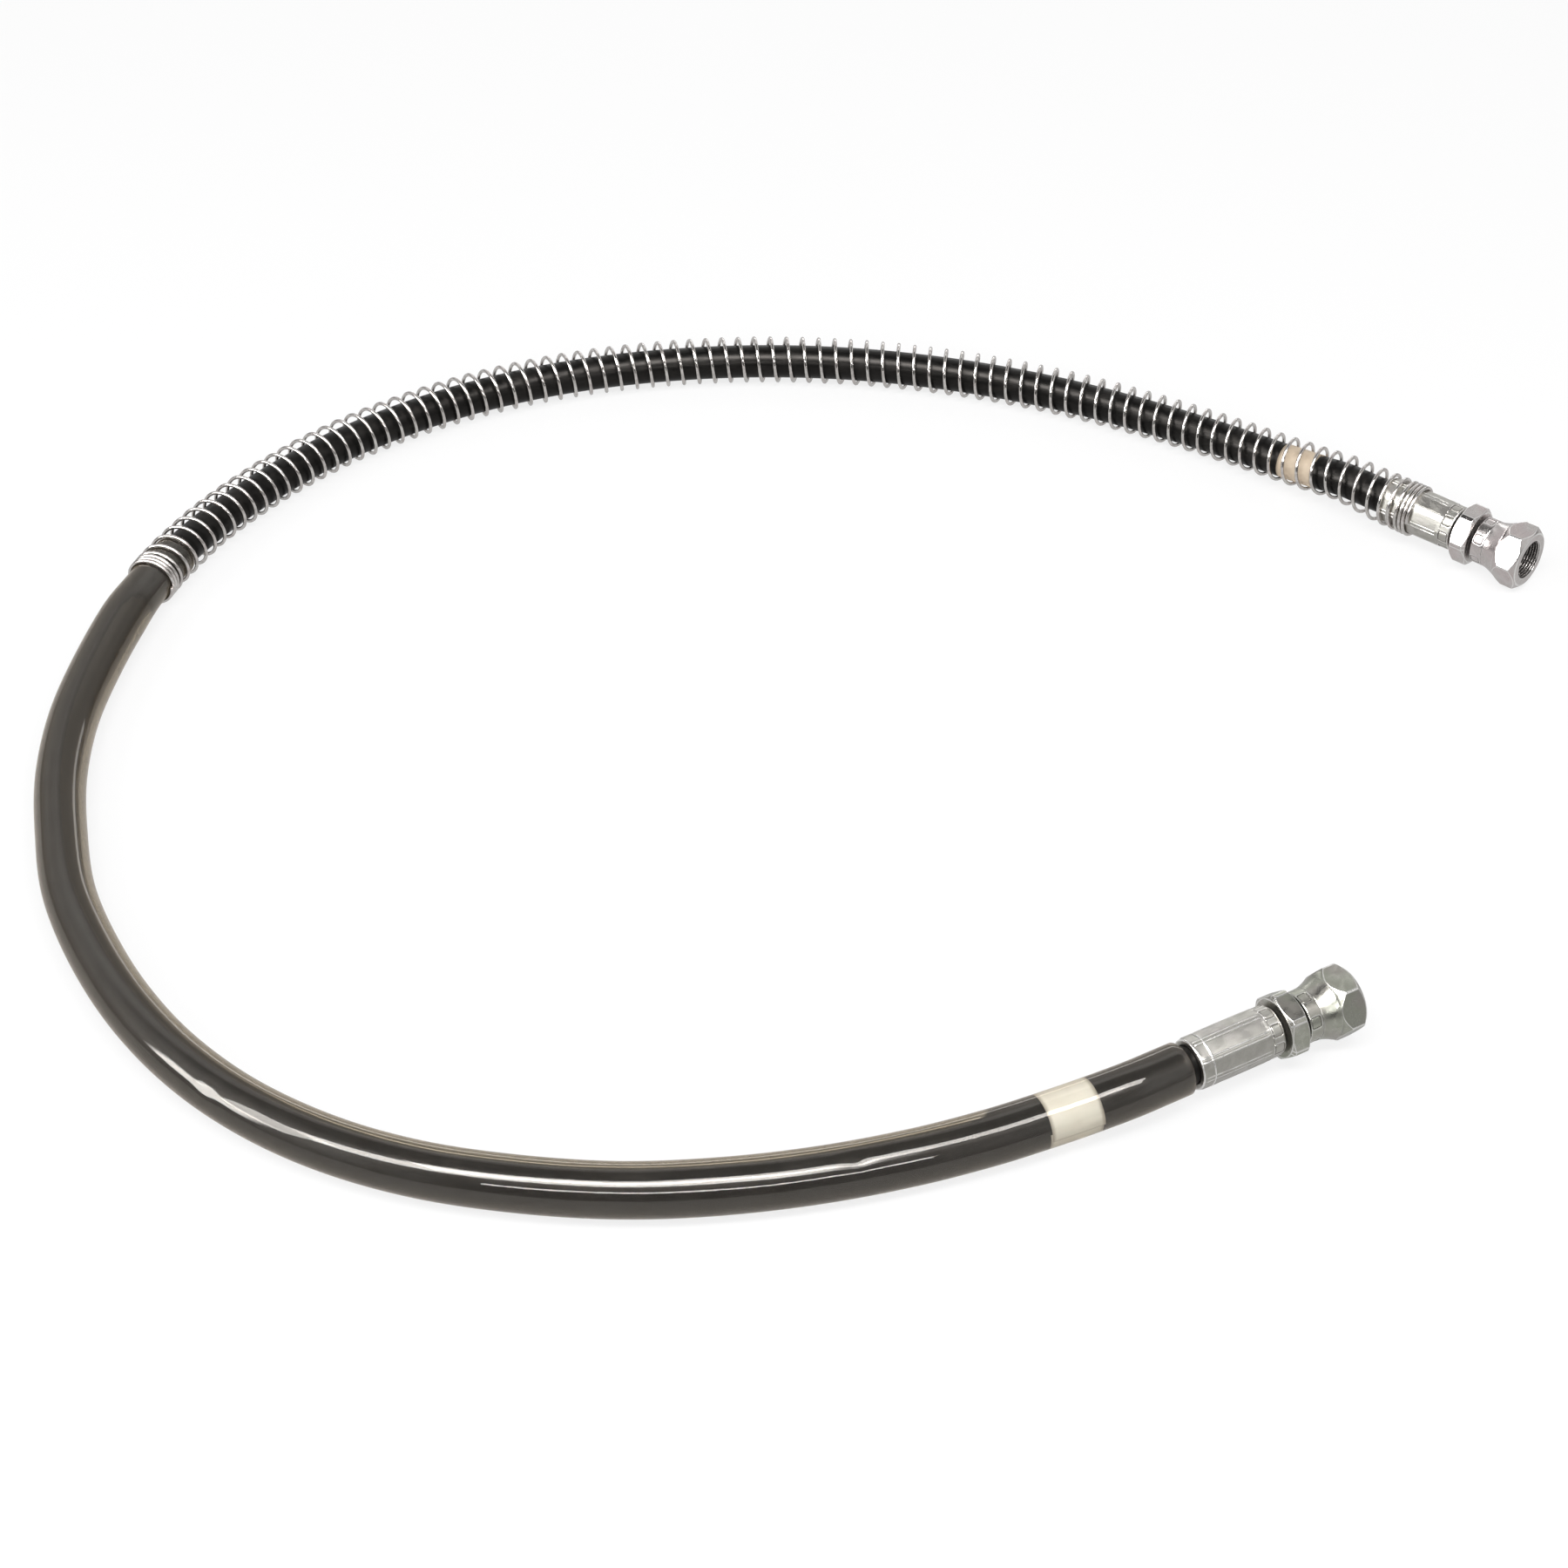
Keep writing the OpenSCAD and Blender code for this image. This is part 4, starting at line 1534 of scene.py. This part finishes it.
            # the lip's rounding is rubbed, with a painted highlight; the bore and the neck hole get painted
            # shade
            return [
                (0.45, z.hose_radius, -0.6),
                (0.12, z.hose_radius + 0.35, 0.2),
                (wave, lip - 1.9, 0.0),
                (wave, lip - 0.8, 0.2),
                (wave + 0.06, lip - 0.45, 0.9),
                (wave + 0.25, lip - 0.14, 1.0),
                (0.55, lip, 0.9),
                (0.95, lip + 0.02, 0.0),
                *outside,
                (length - 0.35, end - 0.12, 0.8),
                (length - 0.1, end - 0.45, 0.6),
                (length, end - 0.9, 0.0),
                (length, neck, -0.8),
                (length - z.end_wall, neck, 0.0),
                (length - z.end_wall, z.hose_radius, 0.0),
                (length / 2, z.hose_radius, 0.0),
                (3.0, z.hose_radius, -0.5),
            ]

        angles = stations_round(z.crimps, offsets)
        piece = skin(f"ferrule_{self.end}_crimped", self.axis, angles, outline, self.pressed)
        return seated(piece, f"ferrule_{self.end}", "ferrule_zinc")

    def stem(self) -> bpy.types.Object:
        """Makes the stem: barbed tail, collar, hexagon, nut neck, flange and sealing cone.

        Returns:
            The stem.
        """
        z = self.sizes
        hexagon = Hexagon(z.stem_flats, z.stem_corner)
        collar = z.ferrule_length - z.end_wall - z.collar
        behind = z.ferrule_length - z.end_wall - z.fit
        ahead = z.ferrule_length + z.fit
        rim = z.neck_radius + 1.0
        washer = z.nut_neck + 1.0
        cone_base = z.flange_radius - 0.8
        cone_start = z.flange_start + z.flange_length
        slope = math.tan(math.radians(z.cone_angle))
        cone_tip = cone_base - (z.nose - cone_start) * slope
        groove = z.seal_cord + 0.4
        groove_start = (cone_start + z.nose - groove) / 2
        groove_stop = groove_start + groove
        groove_floor = cone_tip - 0.4
        bevel_in = z.stem_bevel * 1.5
        low = z.stem_corner - bevel_in
        barbs = [
            (x + step, z.tail_radius - cut, 0.0)
            for x in np.arange(8.0, 34.1, 6.0)
            for step, cut in ((0.0, 0.0), (0.01, 0.35), (3.0, 0.0))
        ]

        def outline(angle: float) -> Loop:
            """Draws the loop over the stem and back through its bore.

            Args:
                angle: The angle, in degrees.

            Returns:
                The loop.
            """
            radius = hexagon.radius(angle)
            cut = z.stem_bevel * (radius - low) / bevel_in
            # -1 marks painted shade: in the recess between the ferrule and the hexagon and round the nut's
            # neck; the roundings are rubbed, with a painted highlight
            corners = [
                (z.tail_start, z.stem_bore, 0.0),
                (z.tail_start, z.tail_radius - 0.8, 0.2),
                (z.tail_start + 1.0, z.tail_radius, 0.2),
                *barbs,
                (collar, z.tail_radius, 0.0),
                (collar, rim, 0.15),
                (behind, rim, 0.15),
                (behind, z.neck_radius, 0.0),
                (ahead, z.neck_radius, -1.0),
                (ahead, washer, -1.0),
                (z.hex_start, washer, -1.0),
                (z.hex_start, washer + 1.2, -0.8),
                (z.hex_start, washer + 2.6, -0.2),
                (z.hex_start, low, 0.25),
                (z.hex_start + cut, radius, 0.16),
                (z.hex_end - cut, radius, 0.16),
                (z.hex_end, low, 0.25),
                (z.hex_end, z.nut_neck + 4.6, -0.3),
                (z.hex_end, z.nut_neck + 0.3, -1.0),
                (z.hex_end + 0.3, z.nut_neck, -1.0),
                (z.nut_start + 2.0, z.nut_neck, -1.0),
                (z.flange_start, z.nut_neck, 0.0),
                (z.flange_start, z.flange_radius, 0.15),
                (cone_start, z.flange_radius, 0.15),
                (cone_start, cone_base, 0.0),
                (groove_start, cone_base - (groove_start - cone_start) * slope, 0.08),
                (groove_start, groove_floor, 0.0),
                (groove_stop, groove_floor, 0.0),
                (groove_stop, cone_base - (groove_stop - cone_start) * slope, 0.08),
                (z.nose, cone_tip, 0.25),
                (z.nose, z.stem_bore, 0.25),
                (z.flange_start, z.stem_bore, 0.0),
                (z.ferrule_length, z.stem_bore, 0.0),
            ]
            return hexagon.worn_and_painted_light(softened(corners), angle, z.hex_start, z.hex_end)

        angles = stations_round(6, Hexagon.angles)
        piece = skin(f"stem_{self.end}_turned", self.stem_axis, angles, outline, self.zinc)
        return seated(piece, f"stem_{self.end}", "fitting_zinc")

    def thread_radius(self, x: float, angle: float) -> float:
        """Shapes the wall of the internal thread.

        Args:
            x: The station.
            angle: The angle, in degrees.

        Returns:
            Its radius there.
        """
        z = self.sizes
        from_crest = abs(2.0 * ((x / z.thread_pitch - angle / 360.0) % 1.0) - 1.0)
        rise = min(max((from_crest - 0.25) / 0.62, 0.0), 1.0)
        return z.thread_minor + rise * (z.thread_major - z.thread_minor)

    def nut_tail(self, angle: float) -> Loop:
        """Draws the outside of the nut's crimped tail and its flare, with its pressed pad.

        Args:
            angle: The angle, in degrees.

        Returns:
            That part of the nut's loop.
        """
        z = self.sizes
        top, stop = z.nut_tail_radius, z.nut_start + z.nut_tail
        across = math.radians(angle % 60.0 - 30.0) * top
        rows = []
        for x in np.arange(0.5, 6.55, 0.23):
            relief, worn_and_painted_light = pad_relief(x - 0.6 - z.pad_length / 2, across, z.pad_length, z.nut_pad)
            rows.append((z.nut_start + x, top + relief, max(-1.0, min(1.0, worn_and_painted_light))))
        low = rows[0][1]
        # painted shade (-1) at the nut's mouth and in the groove behind the tail, with a painted highlight
        # on the groove's rims
        return [
            (z.nut_start, z.nut_neck + z.neck_clearance, -1.0),
            (z.nut_start, low - 2.4, -0.7),
            (z.nut_start, low - 0.5, 0.3),
            (z.nut_start + 0.15, low - 0.15, 0.8),
            *rows,
            (stop - 0.15, top, 0.3),
            (stop - 0.05, top - 0.12, -0.8),
            (stop + 0.1, top - 0.12, -0.8),
            (stop + 0.25, top + 0.02, 0.5),
            *(
                (stop + z.nut_flare * share, top + (z.flare_radius - top) * share**1.5, 0.0)
                for share in np.linspace(0.06, 0.96, 11)
            ),
        ]

    def nut(self) -> bpy.types.Object:
        """Makes the swivel nut with its crimped tail and its internal thread.

        Returns:
            The nut.
        """
        z = self.sizes
        hexagon = Hexagon(z.nut_flats, z.nut_corner)
        flare_end = z.nut_start + z.nut_tail + z.nut_flare
        crown_start = z.nut_end - (z.nut_corner - z.face_radius)
        slope = z.rear_chamfer / (z.nut_corner - z.flare_radius)
        # painted shade inside the nut, in the relief and the cavity
        inner = [
            (z.thread_start - 0.1, z.thread_minor, 0.0),
            (z.thread_start - 0.12, z.relief_radius, -1.0),
            (z.relief_start, z.relief_radius, -1.0),
            (z.relief_start, z.cavity_radius, -0.5),
            (z.nut_start + z.nut_lip, z.cavity_radius, -1.0),
            (z.nut_start + z.nut_lip, z.nut_neck + z.neck_clearance, -1.0),
        ]

        def outline(angle: float) -> Loop:
            """Draws the loop over the outside, in at the mouth and back through the thread.

            Args:
                angle: The angle, in degrees.

            Returns:
                The loop.
            """
            radius = hexagon.radius(angle)
            tail = self.nut_tail(angle)
            rear = flare_end + (radius - z.flare_radius) * slope
            front = crown_start + z.nut_corner - radius
            outer = softened(
                [
                    tail[-1],
                    (flare_end, z.flare_radius + 0.08, 0.12),
                    (flare_end + 0.22, z.flare_radius - 0.14, 0.0),
                    (rear, radius, 0.16),
                    (front, radius, 0.2),
                    (z.nut_end, z.face_radius, 0.5),
                    (z.nut_end, z.relief_radius, 0.12),
                    (z.nut_end - 0.5, z.relief_radius - 0.5, 0.0),
                ]
            )[1:-1]
            thread = []
            for x in np.arange(84) * 0.125:
                wall = self.thread_radius(z.nut_end - x, angle)
                # painted shade in the thread's roots, a faint rub on its crests
                worn_and_painted_light = 0.1 if wall < z.thread_minor + 0.05 else -0.95
                thread.append((z.nut_end - 0.25 - x, max(wall, z.relief_radius - x - 0.25), worn_and_painted_light))
            return hexagon.worn_and_painted_light(tail + outer + thread + inner, angle, rear, front)

        angles = stations_round(6, Hexagon.angles)
        piece = skin(f"swivel_nut_{self.end}_threaded", self.nut_axis, angles, outline, self.zinc)
        return seated(piece, f"swivel_nut_{self.end}", "fitting_zinc", f"nut_{self.end}")

    def build(self) -> list[bpy.types.Object]:
        """Makes the fitting's pieces and returns them."""
        return [self.ferrule(), self.stem(), self.nut()]


# ---------------------------------------------------------------------------- the studio


@dataclass(frozen=True)
class Lamp:
    """A softbox: where it stands, what it looks at, its size and its power."""

    name: str
    place: tuple[float, float, float]
    aim: tuple[float, float, float]
    size: tuple[float, float]
    power: float


@dataclass
class Studio:
    """Camera, white floor, surroundings and softboxes, in metres."""

    camera_place: tuple[float, float, float] = (-0.018, -1.37792, 1.12208)
    camera_tilt: float = 50.0
    lens: float = 78.656
    sensor: float = 36.0
    floor_size: float = 2.6
    # levels from the back horizon (0) over the top (0.5) to the front horizon (1)
    ceiling: Stops = (
        (0.0, 0.55), (0.17, 0.58), (0.21, 0.62), (0.26, 1.00), (0.30, 0.90), (0.34, 0.10), (0.44, 0.06),
        (0.54, 0.08), (0.58, 0.50), (0.67, 0.50), (0.71, 0.08), (0.84, 0.05), (1.0, 0.04),
    )  # fmt: skip
    # levels from the left (0) to the right (1)
    sides: Stops = ((0.0, 0.70), (0.5, 0.50), (1.0, 0.78))
    # share of those levels from the floor (0) to straight up (1)
    side_rise: Stops = ((0.04, 0.30), (0.40, 1.0))
    # softboxes that only mirroring surfaces see: stops over the pitch and from left to right, and
    # of the wall at the left over its height, from left to right and from front to back
    overhead: tuple[Stops, ...] = (
        ((0.570, 0.0), (0.580, 1.0), (0.665, 1.0), (0.675, 0.0)),
        ((0.17, 0.0), (0.20, 1.0), (0.60, 1.0), (0.68, 0.0)),
    )
    left_wall: tuple[Stops, ...] = (
        ((0.22, 0.0), (0.26, 1.0), (0.46, 1.0), (0.52, 0.0)),
        ((0.13, 1.0), (0.18, 0.0)),
        ((0.28, 0.0), (0.33, 1.0), (0.485, 1.0), (0.515, 0.0)),
    )
    mirrored_level: float = 13.0
    lamps: tuple[Lamp, ...] = (
        Lamp("overhead_softbox", (0.1, -0.9, 2.2), (0.0, 0.0, 0.0), (2.4, 0.60), 46.0),
        Lamp("front_strip", (0.1, -2.0, 1.2), (0.0, 0.0, 0.0), (2.0, 0.16), 14.0),
        Lamp("left_softbox", (-1.9, -0.9, 1.4), (0.2, 0.0, 0.0), (0.7, 0.9), 16.0),
        Lamp("rear_strip", (0.3, 2.4, 0.55), (0.0, 0.0, 0.0), (2.4, 0.30), 5.0),
    )

    def camera(self) -> None:
        """Places the camera."""
        data = bpy.data.cameras.new("camera")
        data.lens = self.lens
        data.sensor_width = self.sensor
        data.clip_start, data.clip_end = 0.01, 50.0
        camera = added("camera", data)
        camera.location = self.camera_place
        camera.rotation_euler = (math.radians(self.camera_tilt), 0.0, 0.0)
        bpy.context.scene.camera = camera

    def floor(self) -> None:
        """Lays the white floor: it shines white to the camera, and keeps the part's shadow."""
        half = self.floor_size / 2
        corners = [(-half, -half, 0.0), (half, -half, 0.0), (half, half, 0.0), (-half, half, 0.0)]
        mesh = bpy.data.meshes.new("floor")
        mesh.from_pydata(corners, [], [(0, 1, 2, 3)])
        added("floor", mesh)
        s = Surface("floor_paper")
        camera, through, glossy = s.rays("Camera", "Transmission", "Glossy")
        mirrored = glossy * (1.0 - through)
        diffuse = s.node("ShaderNodeBsdfDiffuse", {"Color": (0.86, 0.86, 0.86, 1.0)})
        light = {"Color": (1.0, 1.0, 1.0, 1.0), "Strength": 1.0 - 0.45 * mirrored}
        glow = s.node("ShaderNodeEmission", light)
        share = (camera * 0.80 + through * 0.20 + mirrored * 0.85).clamped()
        mixed = s.node("ShaderNodeMixShader", {0: share, 1: diffuse.outputs[0], 2: glow.outputs[0]})
        mesh.materials.append(s.shaded(mixed))

    def surroundings(self) -> None:
        """Paints the world: white to the camera, soft grey bands to everything else."""
        world = bpy.data.worlds.new("studio")
        world.use_nodes = True
        bpy.context.scene.world = world
        t = Tree(world.node_tree)
        across, depth, height = t.parts(t.node("ShaderNodeTexCoord").outputs["Generated"])
        # half turns from the back horizon over the top to the front horizon
        pitch = t.math("ARCTAN2", height, depth) / math.pi
        leftward, frontward = across * 0.5 + 0.5, depth * 0.5 + 0.5
        tunnel = t.ramp(pitch, *self.ceiling)
        sides = t.ramp(leftward, *self.sides) * t.ramp(height, *self.side_rise)
        end = t.ramp(t.math("ABSOLUTE", across), (0.38, 0.0), (0.70, 1.0))
        camera, mirrored = t.rays("Camera", "Glossy")
        box = t.ramp(pitch, *self.overhead[0]) * t.ramp(leftward, *self.overhead[1])
        wall = t.ramp(height, *self.left_wall[0]) * t.ramp(leftward, *self.left_wall[1])
        wall = wall * t.ramp(frontward, *self.left_wall[2])
        level = tunnel + (sides - tunnel) * end
        level = level + t.math("MAXIMUM", box, wall) * mirrored * self.mirrored_level
        inputs = {"Color": (1.0, 1.0, 1.0, 1.0), "Strength": camera + (1.0 - camera) * level}
        glow = t.node("ShaderNodeBackground", inputs)
        t.node("ShaderNodeOutputWorld", {"Surface": glow.outputs[0]})

    def light(self) -> None:
        """Hangs the softboxes."""
        for lamp in self.lamps:
            data = bpy.data.lights.new(lamp.name, "AREA")
            data.shape = "RECTANGLE"
            data.size, data.size_y = lamp.size
            data.energy = lamp.power
            made = added(lamp.name, data)
            made.location = lamp.place
            look = Vector(lamp.aim) - Vector(lamp.place)
            made.rotation_euler = look.to_track_quat("-Z", "Y").to_euler()

    def build(self) -> None:
        """Sets up all but the camera."""
        self.floor()
        self.surroundings()
        self.light()
        bpy.context.scene.view_settings.view_transform = "Standard"


# ---------------------------------------------------------------------------- the assembly


@dataclass
class HoseAssembly:
    """The whole part, built on one route."""

    route: Route = field(default_factory=Route)
    # how far the stem's and the nut's hexagons are turned at each end, in degrees
    guard_end_turns: tuple[float, float] = (26.0, 26.0)
    sleeve_end_turns: tuple[float, float] = (44.0, 33.0)
    # where each label's lap lies, in degrees
    lap_angles: tuple[float, float] = (195.0, 262.0)

    def build(self, frame: Mapping[str, Any]) -> None:
        """Builds every piece.

        Args:
            frame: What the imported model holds.
        """
        finishes = Finishes()
        route = self.route
        path = route.centreline()
        cover = Hose(path, finishes).build()
        ends = []
        for end, turns, zinc in (
            ("guard_end", self.guard_end_turns, finishes.guard_end_zinc_painted_lighter),
            ("sleeve_end", self.sleeve_end_turns, finishes.sleeve_end_zinc_painted_darker),
        ):
            axes = [route.mouth(end == "sleeve_end", turn) for turn in (0.0, *turns)]
            ends.append(Fitting(end, *axes, finishes.ferrule, zinc).build())
            ring = frame["nodes"][f"seal_ring_{end}"]
            ring.data.materials.clear()
            ring.data.materials.append(finishes.seal)
            log.info("%s: dressed", ring.name)
        guard = SpringGuard(path, route, finishes.spring).build()
        sleeve = ClearSleeve(path, route, finishes.vinyl).build()
        bands = [
            LabelBand(path, finish, node, ring, lap).build()
            for finish, node, ring, lap in (
                (finishes.aged_label, "label_band_guard_end", route.guard_label_at, self.lap_angles[0]),
                (finishes.clean_label, "label_band_sleeve_end", route.sleeve_label_at, self.lap_angles[1]),
            )
        ]
        path.length() * MM
        log.info("hose: %.3f m long, %d pieces at the guard end", path.length() * MM, len(ends[0]))


def main() -> None:
    """Builds the part in its studio."""
    logging.basicConfig(level=logging.INFO, format="%(name)s: %(message)s")
    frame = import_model()
    studio = Studio()
    studio.camera()
    HoseAssembly().build(frame)
    studio.build()


if __name__ == "__main__":
    main()
